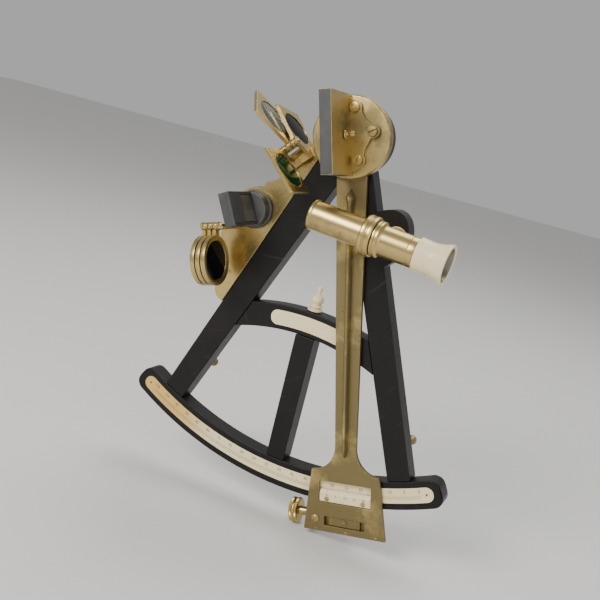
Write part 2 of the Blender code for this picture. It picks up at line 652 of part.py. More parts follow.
# ================================================================ tangent screw and clamp
def tangent_and_clamp():
    """Bearing on the arm, the screw with its milled knob, the clamp that it drives, and its screw."""
    line = -TANGENT_LINE
    start = local_point(0.0, line, TANGENT_HEIGHT)
    bore = TANGENT_RADIUS + RUN
    hole = turned("tangent_bore", rod(bore, BEARING_START - 0.002, BEARING_END + 0.002), start,
                  (1, 0, 0), BRASS, ARM, steps=16)
    low = TANGENT_HEIGHT - 0.0055
    block = box_outline(BEARING_START, BEARING_END, line - 0.0060, line + 0.0060)
    cut(slab("tangent_bearing", block, low, ARM_BACK - GAP, BRASS, ARM), hole)

    r = KNOB_RADIUS
    a = KNOB_START
    b = KNOB_START + KNOB_THICK
    groove = (a + b) / 2
    profile = [(0.0, a - 0.0008), (0.0050, a - 0.0004), (0.0072, a), (r, a + 0.0006), (r, groove - 0.0010),
               (r - 0.0010, groove - 0.0005), (r - 0.0010, groove + 0.0005), (r, groove + 0.0010),
               (r, b - 0.0006), (0.0068, b), (0.0032, b), (0.0030, BEARING_START - 0.0012),
               (TANGENT_RADIUS, BEARING_START - 0.0008), (TANGENT_RADIUS, SCREW_END), (0.0, SCREW_END)]
    turned("tangent_screw", profile, start, (1, 0, 0), BRASS, ARM, steps=24)

    outside = ARC_OUTER + 0.0017
    back = BACK - 0.0005
    far = TANGENT_LINE + 0.0065
    neck = outside + 0.0055
    profile = [(outside, ARM_BACK - 0.0006), (far, ARM_BACK - 0.0006), (far, low), (neck, low),
               (neck, back - JAW_THICK), (JAW_INNER, back - JAW_THICK), (JAW_INNER, back),
               (outside, back)]
    bm = bmesh.new()
    side = [bm.verts.new((CLAMP_START, -height, -along)) for along, height in profile]
    grown = bmesh.ops.extrude_face_region(bm, geom=[bm.faces.new(side)])["geom"]
    bmesh.ops.translate(bm, verts=[v for v in grown if isinstance(v, bmesh.types.BMVert)],
                        vec=(CLAMP_END - CLAMP_START, 0.0, 0.0))
    clamp = piece("clamp_block", bm, BRASS, ARM)
    middle = (CLAMP_START + CLAMP_END) / 2
    nut_bore = turned("nut_bore", rod(bore, CLAMP_START - 0.002, CLAMP_END + 0.002), start, (1, 0, 0),
                      BRASS, ARM, steps=16)
    cut(clamp, nut_bore, drill("jaw_hole", [(middle, -CLAMP_SCREW_AT)], CLAMP_SCREW_RADIUS + RUN,
                               back - JAW_THICK - 0.001, back + 0.0005, ARM))
    jaw = back - JAW_THICK
    h = CLAMP_HEAD_RADIUS
    screw = [(0.0, jaw - 0.0066), (h - 0.0020, jaw - 0.0066), (h, jaw - 0.0052), (h, jaw - 0.0024),
             (h - 0.0014, jaw - 0.0014), (0.0032, jaw - GAP), (CLAMP_SCREW_RADIUS, jaw - GAP),
             (CLAMP_SCREW_RADIUS, back - 0.0002), (0.0, back - 0.0002)]
    turned("clamp_screw", screw, local_point(middle, -CLAMP_SCREW_AT, 0.0), (0, -1, 0), BRASS, ARM,
           steps=20)


# ================================================================ horizon plate and mirror
def horizon_side():
    """Plate let into the left limb, its screw, and the horizon mirror on its adjusting lever."""
    place = (HORIZON_X, HORIZON_Y)
    plate = slab("horizon_plate", plate_outline(), -PLATE_THICK, 0.0, BRASS, FRAME)
    screw_at = on_limb(-1, 0.1309, 0.0185)
    cut(plate, drill("plate_spindle_hole", [place], SPINDLE_RADIUS + RUN, -0.005, 0.001, FRAME),
        drill("plate_screw_hole", [screw_at], 0.0022 + GAP, -0.005, 0.001, FRAME))
    head = [(0.0, -0.0026), (0.0016, -0.0026), (0.0022, -0.0006), (0.0022, 0.0), (0.0, 0.0002)]
    turned("plate_screw", head, point(*screw_at, 0.0), (0, -1, 0), BRASS, steps=14)

    r = HORIZON_BASE_RADIUS
    t = HORIZON_BASE_TOP
    base = [(0.0, GAP), (r, GAP), (r, 0.0026), (r - 0.0012, 0.0032), (r - 0.0012, t - 0.0006),
            (r - 0.0018, t), (0.0, t)]
    turned("horizon_base", base, local_point(0, 0, 0), (0, -1, 0), DARK, HORIZON, steps=32)
    half = HORIZON_THICK / 2
    foot = t + GAP
    housing = slab("horizon_frame", box_outline(-half, half, -HORIZON_HALF, HORIZON_HALF),
                   foot, HORIZON_TOP, DARK, HORIZON)
    seat = half - 0.0026
    rim = 0.0020
    glass = HORIZON_HALF - rim
    cut(housing, slab("horizon_recess", box_outline(seat - GAP, half + 0.001, -glass, glass),
                      foot + rim, HORIZON_GLASS_TOP, DARK, HORIZON))
    slab("horizon_glass", box_outline(seat, half - GAP, -glass + GAP, glass - GAP),
         foot + rim + GAP, HORIZON_GLASS_TOP - GAP, SILVER, HORIZON)
    front = BACK - 0.0006
    spindle = turned("horizon_lever", rod(SPINDLE_RADIUS, front - LEVER_THICK - 0.001, 0.0),
                     local_point(0, 0, 0), (0, -1, 0), BRASS, HORIZON, steps=20)
    end = arc(0.0, -LEVER_LENGTH, LEVER_HALF * 0.7, math.pi, math.tau, 8)
    outline = arc(0.0, 0.0, LEVER_HALF * 1.5, -0.3, math.pi + 0.3, 14)
    join(spindle, slab("lever_guide", outline + end, front - LEVER_THICK, front, BRASS, HORIZON))


# ================================================================ shades
def shade_axes(lean, x, y, height):
    """Matrix whose X points across the shade, Y along its hinge and Z forwards."""
    along = Vector((math.cos(lean), 0.0, math.sin(lean)))
    across = Vector((math.sin(lean), 0.0, -math.cos(lean)))
    forward = Vector((0.0, -1.0, 0.0))
    turn = Matrix((across, along, forward)).transposed().to_4x4()
    return Matrix.Translation(point(x, y, height)) @ turn


def upright(name, outline, half, middle, material, parent):
    """A plate across a shade's hinge, with an (across, forward) outline."""
    bm = bmesh.new()
    face = bm.faces.new([bm.verts.new((x, middle - half, z)) for x, z in outline])
    grown = bmesh.ops.extrude_face_region(bm, geom=[face])["geom"]
    bmesh.ops.translate(bm, verts=[v for v in grown if isinstance(v, bmesh.types.BMVert)],
                        vec=(0.0, 2 * half, 0.0))
    return piece(name, bm, material, parent)


def hinge_empty(name, matrix, swing):
    """An empty on a shade's hinge, turned by its swing."""
    holder = empty(name, (0, 0, 0))
    holder.matrix_world = matrix @ Matrix.Rotation(-math.radians(swing), 4, "Y")
    return holder


def shade(name, outline, centre, hole, glass, holder):
    """A brass shade plate with its round glass, on one hinge."""
    half = SHADE_THICK / 2
    frame = upright(f"{name}_frame", outline, half, 0.0, BRASS, holder)
    cx, cz = centre
    eye = SHADE_PIN_RADIUS + RUN
    tools = []
    for part, x, z, radius, steps in (("window", cx, cz, hole, SHADE_STEPS), ("eye", 0, 0, eye, 14)):
        ring = arc(x, z, radius, 0.0, math.tau * (1 - 1 / steps), steps - 1)
        tools.append(upright(f"{name}_{part}", ring, half + 0.001, 0.0, BRASS, holder))
    cut(frame, *tools)
    disc = arc(cx, cz, hole - GAP, 0.0, math.tau * (1 - 1 / SHADE_STEPS), SHADE_STEPS - 1)
    upright(f"{name}_glass", disc, SHADE_GLASS_THICK / 2, 0.0, glass, holder)


def index_shades():
    """Three square shades between the mirrors, on one pin in a two-eared bracket."""
    r = SHADE_LUG
    low = 0.0020
    outline = [(INDEX_SHADE_LONG, low)]
    outline += arc(0.0, 0.0, r, math.asin(low / r), -1.5 * math.pi, 14)
    outline += [(0.0, low + INDEX_SHADE_TALL), (INDEX_SHADE_LONG, low + INDEX_SHADE_TALL)]
    centre = (INDEX_SHADE_LONG / 2, low + INDEX_SHADE_TALL / 2)
    axes = shade_axes(INDEX_SHADE_LEAN, INDEX_SHADE_X, INDEX_SHADE_Y, INDEX_SHADE_HEIGHT)
    kinds = (("green", GREEN), ("clear", CLEAR), ("dark", SMOKE))
    for number, ((kind, glass), swing) in enumerate(zip(kinds, INDEX_SHADE_SWINGS)):
        shift = Matrix.Translation((0.0, number * INDEX_SHADE_PITCH, 0.0))
        holder = hinge_empty(f"{kind}_shade_hinge", axes @ shift, swing)
        shade(f"{kind}_shade", outline, centre, INDEX_SHADE_HOLE, glass, holder)

    room = SHADE_THICK / 2 + 0.0010
    near = -room - EAR_THICK / 2
    far = 2 * INDEX_SHADE_PITCH + room + EAR_THICK / 2
    foot = GAP - INDEX_SHADE_HEIGHT
    seat = empty("shade_bracket_seat", (0, 0, 0))
    seat.matrix_world = axes
    ear = arc(0.0, 0.0, 0.0034, math.radians(20), math.radians(200), 10)
    ear += [(0.0036, foot + 0.0012), (0.0060, foot), (0.0125, foot), (0.0125, foot + 0.0037)]
    bracket = upright("index_shade_bracket", ear, EAR_THICK / 2, near, BRASS, seat)
    second = upright("ear_guide", ear, EAR_THICK / 2, far, BRASS, seat)
    sole = upright("sole_guide", box_outline(0.0080, 0.0125, foot, foot + 0.0037),
                   (far - near + EAR_THICK) / 2, (far + near) / 2, BRASS, seat)
    join(bracket, sole, second)
    base = axes @ Matrix.Translation((0.0, near - 0.004, 0.0))
    way = axes.to_3x3() @ Vector((0, 1, 0))
    length = far - near + 0.008
    cut(bracket, turned("bracket_eye", rod(SHADE_PIN_RADIUS + RUN, 0.0, length), base.to_translation(),
                        way, BRASS, steps=14))
    end = far - near + 0.004 + EAR_THICK / 2
    pin = [(0.0, 0.0010), (0.0026, 0.0010), (0.0028, 0.0022), (0.0026, 0.0040 - EAR_THICK / 2 - GAP),
           (SHADE_PIN_RADIUS, 0.0040 - EAR_THICK / 2 - GAP), (SHADE_PIN_RADIUS, end + 0.0006),
           (0.0, end + 0.0006)]
    turned("index_shade_pin", pin, base.to_translation(), way, BRASS, steps=16)


def horizon_shades():
    """Three round shades behind the horizon mirror, on a pin carried by one post."""
    r = SHADE_LUG
    big = HORIZON_SHADE_RADIUS
    neck = 0.0022
    cx, cz = HORIZON_SHADE_DROP, HORIZON_SHADE_FORE
    upper = math.pi - math.asin((neck - cz) / big)
    lower = math.pi - math.asin((-neck - cz) / big)
    outline = arc(cx, cz, big, lower - math.tau, upper, 26)
    outline += arc(0.0, 0.0, r, math.asin(neck / r), math.tau - math.asin(neck / r), 12)
    axes = shade_axes(HORIZON_SHADE_LEAN, HORIZON_SHADE_X, HORIZON_SHADE_Y, HORIZON_SHADE_HEIGHT)
    for number in range(3):
        shift = Matrix.Translation((0.0, (number - 1) * HORIZON_SHADE_PITCH, 0.0))
        holder = hinge_empty(f"horizon_shade_hinge_{number + 1}", axes @ shift, 0.0)
        shade(f"horizon_shade_{number + 1}", outline, (cx, cz), HORIZON_SHADE_HOLE, SMOKE, holder)

    side = HORIZON_SHADE_PITCH + SHADE_THICK / 2 + 0.0008
    place = axes @ Vector((0.0, side + SHADE_POST_RADIUS, 0.0))
    top = HORIZON_SHADE_HEIGHT + 0.0034
    post = [(0.0, GAP), (0.0028, GAP), (0.0028, 0.0012), (SHADE_POST_RADIUS, 0.0022),
            (SHADE_POST_RADIUS, top - 0.0008), (0.0016, top), (0.0, top)]
    turned("horizon_shade_post", post, point(place.x, place.z, 0.0), (0, -1, 0), BRASS, steps=18)
    way = axes.to_3x3() @ Vector((0, -1, 0))
    start = axes @ Vector((0.0, side - GAP, 0.0))
    end = side + HORIZON_SHADE_PITCH + SHADE_THICK / 2
    pin = [(0.0, 0.0), (SHADE_PIN_RADIUS, 0.0), (SHADE_PIN_RADIUS, end), (0.0028, end + GAP),
           (0.0028, end + 0.0016), (0.0018, end + 0.0022), (0.0, end + 0.0022)]
    turned("horizon_shade_pin", pin, start, way, BRASS, steps=16)


# ================================================================ telescope
def scope_way():
    """Direction from the objective to the eye."""
    return Vector((math.cos(SCOPE_DIP), 0.0, -math.sin(SCOPE_DIP)))


def stem_place():
    """Where the telescope's stem goes through the ear."""
    way = scope_way() * STEM_ALONG
    return (SCOPE_X + way.x, SCOPE_Y + way.z)


def telescope():
    """Seat in the ear, bracket with stem and collar, rising nut, tubes, lenses and eye cup."""
    stem = point(*stem_place(), 0.0)
    bore = STEM_RADIUS + RUN
    wall = bore + SEAT_WALL
    seat = [(SEAT_RADIUS, -SEAT_THICK), (SEAT_RADIUS, 0.0003), (bore, 0.0003), (bore, BACK),
            (wall, BACK), (wall, -SEAT_THICK)]
    turned("telescope_seat", seat, stem, (0, -1, 0), BRASS)
    nut = BACK - 0.0004
    ring = tube(RISE_NUT_RADIUS, bore, nut - RISE_NUT_THICK, nut)
    turned("rise_nut", ring, stem, (0, -1, 0), BRASS)

    way = scope_way()
    start = point(SCOPE_X, SCOPE_Y, SCOPE_HEIGHT)
    collar = turned("telescope_bracket", tube(COLLAR_RADIUS, TUBE_RADIUS + GAP, COLLAR_START, COLLAR_END),
                    start, way, BRASS, steps=28)
    floor = -SHOULDER_RADIUS - 0.0007
    under = -COLLAR_RADIUS - 0.0040
    inside = -TUBE_RADIUS - 0.0010
    tail = STEM_ALONG + STEM_RADIUS + 0.0012
    profile = [(COLLAR_START, under), (tail, under), (tail, floor), (COLLAR_END, floor),
               (COLLAR_END, inside), (COLLAR_START, inside)]
    bm = bmesh.new()
    side = [bm.verts.new((along, -rise, -0.0045)) for along, rise in profile]
    grown = bmesh.ops.extrude_face_region(bm, geom=[bm.faces.new(side)])["geom"]
    bmesh.ops.translate(bm, verts=[v for v in grown if isinstance(v, bmesh.types.BMVert)],
                        vec=(0.0, 0.0, 0.0090))
    turn = Matrix.Translation(start) @ Matrix.Rotation(SCOPE_DIP, 4, "Y")
    shelf = piece("shelf_guide", bm, BRASS, None, turn)
    post = turned("stem_guide", rod(STEM_RADIUS, STEM_BACK, SCOPE_HEIGHT + under + 0.0010), stem,
                  (0, -1, 0), BRASS)
    join(collar, shelf, post)

    bead = BEAD_RADIUS
    inner = TUBE_RADIUS - TUBE_WALL
    shoulder = COLLAR_END + GAP
    lip = TUBE_RADIUS + 0.00015
    near = OBJECTIVE
    body = [(bead - 0.0004, near), (bead, near + 0.0008), (bead, near + 0.0018),
            (TUBE_RADIUS, near + 0.0025),
            (TUBE_RADIUS, shoulder), (SHOULDER_RADIUS, shoulder + 0.0002),
            (SHOULDER_RADIUS, SHOULDER_END - 0.0016), (SHOULDER_RADIUS - 0.0012, SHOULDER_END - 0.0008),
            (lip, SHOULDER_END), (lip, TUBE_END), (inner, TUBE_END), (inner, near)]
    turned("main_tube", body, start, way, BRASS, steps=30)
    glass = inner - GAP
    lens = [(0.0, 0.0036), (glass * 0.6, 0.0040), (glass, 0.0048), (glass, 0.0062),
            (glass * 0.6, 0.0066), (0.0, 0.0068)]
    lens = [(radius, along + near) for radius, along in lens]
    turned("objective_lens", lens, start, way, LENS)
    draw = inner - RUN
    hollow = draw - DRAW_WALL
    cup = TUBE_END + GAP
    sleeve = tube(draw, hollow, TUBE_END - DRAW_INSIDE, cup + 0.0045)
    turned("draw_tube", sleeve, start, way, BRASS, steps=24)
    glass = hollow - GAP
    lens = [(0.0, 0.0), (glass, 0.0010), (glass, 0.0020), (0.0, 0.0028)]
    lens = [(radius, along + cup + 0.0005) for radius, along in lens]
    turned("eye_lens", lens, start, way, LENS)
    c = CUP_LENGTH
    grip = draw + GAP
    outline = [(CUP_RADIUS - 0.0003, 0.0), (CUP_RADIUS, 0.0004), (CUP_RADIUS - 0.0002, 0.16 * c),
               (CUP_WAIST, 0.34 * c), (CUP_WAIST, 0.44 * c), (CUP_WAIST + 0.0006, 0.62 * c),
               (CUP_WAIST + 0.0016, 0.80 * c), (CUP_RIM - 0.0002, 0.92 * c), (CUP_RIM, 0.96 * c),
               (CUP_RIM - 0.0005, c), (CUP_MOUTH + 0.0004, c), (CUP_MOUTH, c - 0.0004),
               (CUP_MOUTH - 0.0013, 0.70 * c), (grip + 0.0002, 0.34 * c), (grip, 0.30 * c), (grip, 0.0)]
    outline = [(radius, along + cup) for radius, along in outline]
    turned("eyecup", outline, start, way, BONE, steps=28)


# ================================================================ assembly
FRAME = empty("frame_seat", (0.0, REST_PLANE, 0.0))
ARM = empty("index_arm_pivot", (0.0, REST_PLANE, 0.0), (0.0, -INDEX_REST, 0.0))
MIRROR = empty("index_mirror_seat", (0.0, 0.0, 0.0), (0.0, -MIRROR_LEAN, 0.0), ARM)
HORIZON = empty("horizon_mirror_pivot", point(HORIZON_X, HORIZON_Y, 0.0), (0.0, -HORIZON_LEAN, 0.0))

wooden_frame()
inlays()
pivot_and_feet()
index_arm()
index_mirror()
tangent_and_clamp()
horizon_side()
index_shades()
horizon_shades()
telescope()
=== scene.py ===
"""Finished looks of a wooden navigating octant, built round its packed model.

Lengths in the shape code are millimetres on the instrument: right and up in the plane of the wooden
frame, from the pivot, and forwards from the wood's front face. Each piece has its own seat, a matrix
that carries such a place into the scene, where lengths are metres.
"""
import json
import math

import bmesh
import bpy
import numpy as np
from mathutils import Matrix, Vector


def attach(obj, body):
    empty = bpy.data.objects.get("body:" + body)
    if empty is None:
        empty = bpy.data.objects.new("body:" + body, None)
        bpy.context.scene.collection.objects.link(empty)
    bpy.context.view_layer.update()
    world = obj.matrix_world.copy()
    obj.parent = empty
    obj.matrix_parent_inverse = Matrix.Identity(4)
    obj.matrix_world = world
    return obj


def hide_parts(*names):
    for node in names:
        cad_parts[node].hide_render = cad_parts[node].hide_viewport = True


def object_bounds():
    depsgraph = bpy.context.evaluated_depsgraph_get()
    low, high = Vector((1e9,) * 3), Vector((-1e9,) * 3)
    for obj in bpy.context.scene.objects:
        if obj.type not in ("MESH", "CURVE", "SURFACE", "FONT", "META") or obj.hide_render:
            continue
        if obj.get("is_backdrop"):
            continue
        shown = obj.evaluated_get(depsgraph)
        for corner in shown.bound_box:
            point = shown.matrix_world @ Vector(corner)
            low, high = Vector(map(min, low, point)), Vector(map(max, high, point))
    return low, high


bl_info = {
    "name": "Navigating Octant",
    "version": (1, 0, 0),
    "blender": (4, 5, 0),
    "location": "3D View > Sidebar > Octant",
    "description": "Builds the finished pieces and surfaces of a navigating octant",
    "category": "Object",
}

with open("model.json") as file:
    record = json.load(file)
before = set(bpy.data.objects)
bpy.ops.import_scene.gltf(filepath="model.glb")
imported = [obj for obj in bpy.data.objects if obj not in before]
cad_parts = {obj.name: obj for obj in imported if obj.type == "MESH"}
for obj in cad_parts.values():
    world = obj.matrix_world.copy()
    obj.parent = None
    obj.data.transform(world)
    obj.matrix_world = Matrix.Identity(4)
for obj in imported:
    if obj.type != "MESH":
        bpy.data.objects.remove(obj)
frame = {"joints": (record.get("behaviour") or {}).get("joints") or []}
CAD_BOX = [list(corner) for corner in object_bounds()]
JOINT = {joint["name"]: joint for joint in frame["joints"]}
MM = 0.001
FRONT = JOINT["index_arm_swing"]["pos_m"][1]

# ------------------------------------------------------------------ sizes, in millimetres
WOOD = 14.0
SPREAD = math.radians(23.2)
HEAD = 24.0
ARC_IN, ARC_OUT, ARC_HALF, ARC_CORNER = 231.5, 250.8, math.radians(30.0), 7.0
SCALE_IN, SCALE_OUT, SCALE_HALF = 235.8, 246.3, math.radians(28.7)
ZERO = math.radians(26.4)            # where the scale's zero lies, right of the centre line
BAR_CENTRE, BAR_IN, BAR_OUT = -294.0, 155.0, 172.5
NOTE_IN, NOTE_OUT, NOTE_HALF = 158.1, 168.7, 28.4
EAR_ALONG, EAR_OUT, EAR_RADIUS = 69.0, 11.2, 17.5
GAP = 0.3
ARM_BACK, ARM_TOP, DISC_TOP = 0.8, 3.8, 8.0
TANGENT_LINE, TANGENT_HEIGHT = 262.0, -5.0
SCOPE_HEIGHT = 28.0
TUBE = 9.7

SAME_POINT = 2e-6                    # metres within which a shell's points are merged
SHARP = math.radians(34.0)           # edges that stay crisp in the shading
BEVELLED = math.radians(40.0)        # edges that the bevel rounds


# ================================================================== seats
def seat(x=0.0, y=0.0, height=0.0, turn=0.0):
    """A seat in the frame's plane: its columns are right, up and forwards turned by an angle, then the
    place."""
    c, s = math.cos(turn), math.sin(turn)
    return np.array([[c, -s, 0.0, x * MM], [0.0, 0.0, -1.0, FRONT - height * MM],
                     [s, c, 0.0, y * MM], [0.0, 0.0, 0.0, 1.0]])


def aimed(base, start, way):
    """A seat whose forward column is the given direction of another seat, for turned pieces."""
    forward = np.asarray(way, float) / np.linalg.norm(way)
    helper = np.array([0.0, 0.0, 1.0]) if abs(forward[2]) < 0.9 else np.array([1.0, 0.0, 0.0])
    right = np.cross(helper, forward)
    right /= np.linalg.norm(right)
    local = np.eye(4)
    local[:3, :3] = np.column_stack([right, np.cross(forward, right), forward])
    local[:3, 3] = np.asarray(start) * MM
    return base @ local


def hinge_seat(joint, swing):
    """A shade's seat: right runs across the shade, up along its hinge and forwards to the observer,
    all turned about the hinge by the swing."""
    up = -np.array(JOINT[joint]["axis"])
    across = np.array([up[2], 0.0, -up[0]])
    forward = np.array([0.0, -1.0, 0.0])
    c, s = math.cos(swing), math.sin(swing)
    base = np.eye(4)
    base[:3, 0] = across * c + forward * s
    base[:3, 1] = up
    base[:3, 2] = forward * c - across * s
    base[:3, 3] = JOINT[joint]["pos_m"]
    return base


def axis_turn(joint):
    """How far a joint's axis is turned up from the right."""
    axis = JOINT[joint]["axis"]
    return math.atan2(axis[2], axis[0])


WOODEN = seat()
ARM = seat(turn=axis_turn("clamp_travel"))
MIRROR = seat(turn=axis_turn("mirror_adjuster_turn"))
MIRROR_LEAN = axis_turn("mirror_adjuster_turn") - axis_turn("clamp_travel")
_place = JOINT["horizon_mirror_turn"]["pos_m"]
HORIZON = seat(_place[0] / MM, _place[2] / MM, turn=ZERO + MIRROR_LEAN)
LEFT = seat(turn=-math.pi / 2 - SPREAD)          # right runs down the limb, up runs inwards
RIGHT = seat(turn=-math.pi / 2 + SPREAD)         # right runs down the limb, up runs outwards
STEM = JOINT["rise_nut_turn"]["pos_m"]
STEM_ALONG = 51.3
SCOPE_WAY = np.array(JOINT["focus_slide"]["axis"])
_start = np.array([STEM[0], FRONT - SCOPE_HEIGHT * MM, STEM[2]]) - SCOPE_WAY * STEM_ALONG * MM
SCOPE = np.eye(4)
SCOPE[:3, :3] = np.column_stack([np.cross([0.0, -1.0, 0.0], SCOPE_WAY), [0.0, -1.0, 0.0], SCOPE_WAY])
SCOPE[:3, 3] = _start


# ================================================================== shapes
def grid_faces(rows, columns, wrap_rows=False, wrap_columns=False):
    """Four-sided faces between neighbouring points of a grid, numbered row by row."""
    row = np.arange(rows if wrap_rows else rows - 1)[:, None]
    column = np.arange(columns if wrap_columns else columns - 1)[None, :]
    beyond, beside = (row + 1) % rows * columns, (column + 1) % columns
    row = row * columns
    return np.stack([row + column, row + beside, beyond + beside, beyond + column], -1).reshape(-1, 4)


def soften(points, reach, steps=4, closed=False):
    """Round a line's corners. Each corner p becomes the parabola (1-t)^2 a + 2t(1-t) p + t^2 b, where
    a and b lie on its two sides at the given reach, or at 0.48 of a side that is shorter."""
    p = np.asarray(points, float)
    t = np.linspace(0.0, 1.0, steps)[None, :, None]

    def towards(other):
        """The point at the reach from p towards its neighbour."""
        step = other - p
        length = np.linalg.norm(step, axis=1, keepdims=True)
        return (p + step * np.minimum(reach / np.maximum(length, 1e-9), 0.48))[:, None]

    before, after = towards(np.roll(p, 1, 0)), towards(np.roll(p, -1, 0))
    bent = (1 - t) ** 2 * before + 2 * t * (1 - t) * p[:, None] + t ** 2 * after
    if closed:
        return bent.reshape(-1, p.shape[1])
    return np.concatenate([p[:1], bent[1:-1].reshape(-1, p.shape[1]), p[-1:]])


def lathe(profile, steps=64, teeth=0, depth=0.0, bands=()):
    """Carry a (radius, along) profile round the forward axis: (r cos a, r sin a, along). Within the
    bands of along, r is cut by depth times half of (1 - cos(teeth a)), the milling."""
    p = np.asarray(profile, float)
    if teeth:
        steps = teeth * 4
    angle = np.arange(steps) * math.tau / steps
    radius = np.repeat(p[:, :1], steps, 1)
    for low, high in bands:
        inside = (p[:, 1] >= low) & (p[:, 1] <= high) & (p[:, 0] > 0.5 * p[:, 0].max())
        radius -= inside[:, None] * depth * (1 - np.cos(teeth * angle))[None, :] / 2
    points = np.stack([radius * np.cos(angle), radius * np.sin(angle),
                       np.repeat(p[:, 1:2], steps, 1)], -1)
    closed = p[0, 0] > 0.0 and p[-1, 0] > 0.0
    return points.reshape(-1, 3), grid_faces(len(p), steps, closed, True).tolist()


def turning(points, reach=0.25, steps=64, **milling):
    """Turn a profile whose corners are first rounded by the reach."""
    p = np.asarray(points, float)
    ring = p[0, 0] > 0.0 and p[-1, 0] > 0.0
    return lathe(soften(p, reach, 4, ring), steps, **milling)


def bar(inner, outer, low, high, reach, steps=64, **milling):
    """A tube turned between two radii, or a solid bar where the inner one is zero."""
    return turning([(inner, low), (outer, low), (outer, high), (inner, high)], reach, steps, **milling)


def prism(points, faces, low, high):
    """A flat sheet of faces at two heights, with a wall along each edge that only one face uses."""
    n = len(points)
    sheet = np.asarray(points, float)
    faces = np.asarray(faces)
    both = np.concatenate([np.column_stack([sheet, np.full(n, height)]) for height in (high, low)])
    edges = np.stack([faces, np.roll(faces, -1, 1)], -1).reshape(-1, 2)
    _, where, count = np.unique(np.sort(edges, 1), axis=0, return_index=True, return_counts=True)
    rim = edges[where[count == 1]]
    walls = np.column_stack([rim[:, 1], rim[:, 0], rim[:, 0] + n, rim[:, 1] + n])
    return both, faces.tolist() + (faces[:, ::-1] + n).tolist() + walls.tolist()


def plate(outline, low, high):
    """A slab with the given outline: the outline at two heights, and a wall between them."""
    p = np.asarray(outline, float)
    n = len(p)
    both = np.concatenate([np.column_stack([p, np.full(n, height)]) for height in (high, low)])
    ring = np.arange(n)
    walls = np.column_stack([np.roll(ring, -1), ring, ring + n, np.roll(ring, -1) + n])
    return both, [ring.tolist(), (ring[::-1] + n).tolist()] + walls.tolist()


def block(u, v, w):
    """A box between the given pairs of right, up and forward places."""
    return plate([(u[0], v[0]), (u[1], v[0]), (u[1], v[1]), (u[0], v[1])], *w)


def strip(along, near, far, low, high, columns=3, polar=None):
    """A slab between two edges. Column k of a row lies at near + k (far - near) / (columns - 1). With
    no polar, along is a distance from the pivot, and the place is (sqrt(along^2 - across^2), across).
    With polar, along is an angle from straight down or up, and near and far are radii about
    (0, centre)."""
    share = np.linspace(0.0, 1.0, columns)[None, :]
    across = near[:, None] + share * (far - near)[:, None]
    along = along if along.ndim == 2 else np.repeat(along[:, None], columns, 1)
    if polar is None:
        points = np.stack([np.sqrt(along ** 2 - across ** 2), across], -1)
    else:
        centre, facing = polar
        points = np.stack([across * np.sin(along), centre + facing * across * np.cos(along)], -1)
    return prism(points.reshape(-1, 2), grid_faces(len(along), columns), low, high)


def curved_strip(inner, outer, half, corner, low, high, polar, rows=80, columns=5):
    """A slab between two radii with round corners. Along a corner's quarter turn f, the end draws out
    by corner sin f, and each edge draws in by corner (1 - cos f)."""
    middle = (inner + outer) / 2
    reach = half - corner / middle
    quarter = np.linspace(0.0, math.pi / 2, 9)
    end = reach + corner * np.sin(quarter) / middle
    angle = np.concatenate([-end[::-1], np.linspace(-reach, reach, rows)[1:-1], end])
    fold = corner * (1 - np.cos(quarter))
    draw = np.concatenate([fold[::-1], np.zeros(rows - 2), fold])
    return strip(angle, inner + draw, outer - draw, low, high, columns, polar)


def slotted(radius, height, low, dome=0.35, slot=0.7, depth=0.8, turn=0.6):
    """A slotted screw head. Lines x = R sin s run across it, and each is a closed loop: up the side at
    y = -sqrt(R^2 - x^2), over the dome low + height - dome (x^2 + y^2) / R^2, down the other side and
    back underneath. Between x = -slot/2 and slot/2 the loop's top is lower by the slot's depth."""
    half = slot / 2
    side = radius * np.sin(np.linspace(math.asin(half / radius), math.pi / 2, 12))
    x = np.concatenate([-side[::-1], [-half + 1e-4, half - 1e-4], side])
    cut = (np.abs(x) < half - 5e-5)[:, None]
    share = np.sin(np.linspace(-1.0, 1.0, 15) * math.pi / 2)[None, :]
    reach = np.sqrt(np.clip(radius ** 2 - x ** 2, 0.0, None))[:, None]
    y = share * reach * 0.94
    top = low + height - dome * (x[:, None] ** 2 + y ** 2) / radius ** 2
    top = np.where(cut, top - depth, top)
    edge = np.where(cut, low + height - dome - depth, low + height - dome - 0.25)
    ends = [(-reach, low), (-reach, edge)], [(reach, edge), (reach, low)]
    lines = [np.stack([np.broadcast_to(x[:, None], reach.shape), end, np.broadcast_to(rise, reach.shape)],
                      -1) for pair in ends for end, rise in pair]
    cap = np.stack([np.broadcast_to(x[:, None], y.shape), y, top], -1)
    points = np.concatenate(lines[:2] + [cap] + lines[2:], 1)
    rows, columns = points.shape[:2]
    points = points.reshape(-1, 3)
    c, s = math.cos(turn), math.sin(turn)
    points = points @ np.array([[c, s, 0.0], [-s, c, 0.0], [0.0, 0.0, 1.0]])
    return points, grid_faces(rows, columns, False, True).tolist()


def sideways(shell):
    """A slab laid on its side: its outline's places become (up, forward), its thickness right."""
    points, faces = shell
    return np.asarray(points)[:, [2, 0, 1]], faces


def upright(shell):
    """A slab stood up: its outline's places become (right, forward), its thickness up."""
    points, faces = shell
    return np.asarray(points)[:, [0, 2, 1]], faces


def moved(shell, start=(0.0, 0.0, 0.0), way=(0.0, 0.0, 1.0)):
    """A shell carried to a start and turned so that its forward axis points the given way."""
    points, faces = shell
    matrix = aimed(np.eye(4), start, way)
    matrix[:3, 3] /= MM
    return np.asarray(points) @ matrix[:3, :3].T + matrix[:3, 3], faces


def bends(cx, cy, radius, start, end, steps=9):
    """Points on an arc between two angles in degrees."""
    angle = np.radians(np.linspace(start, end, steps))
    return np.column_stack([cx + radius * np.cos(angle), cy + radius * np.sin(angle)]).tolist()


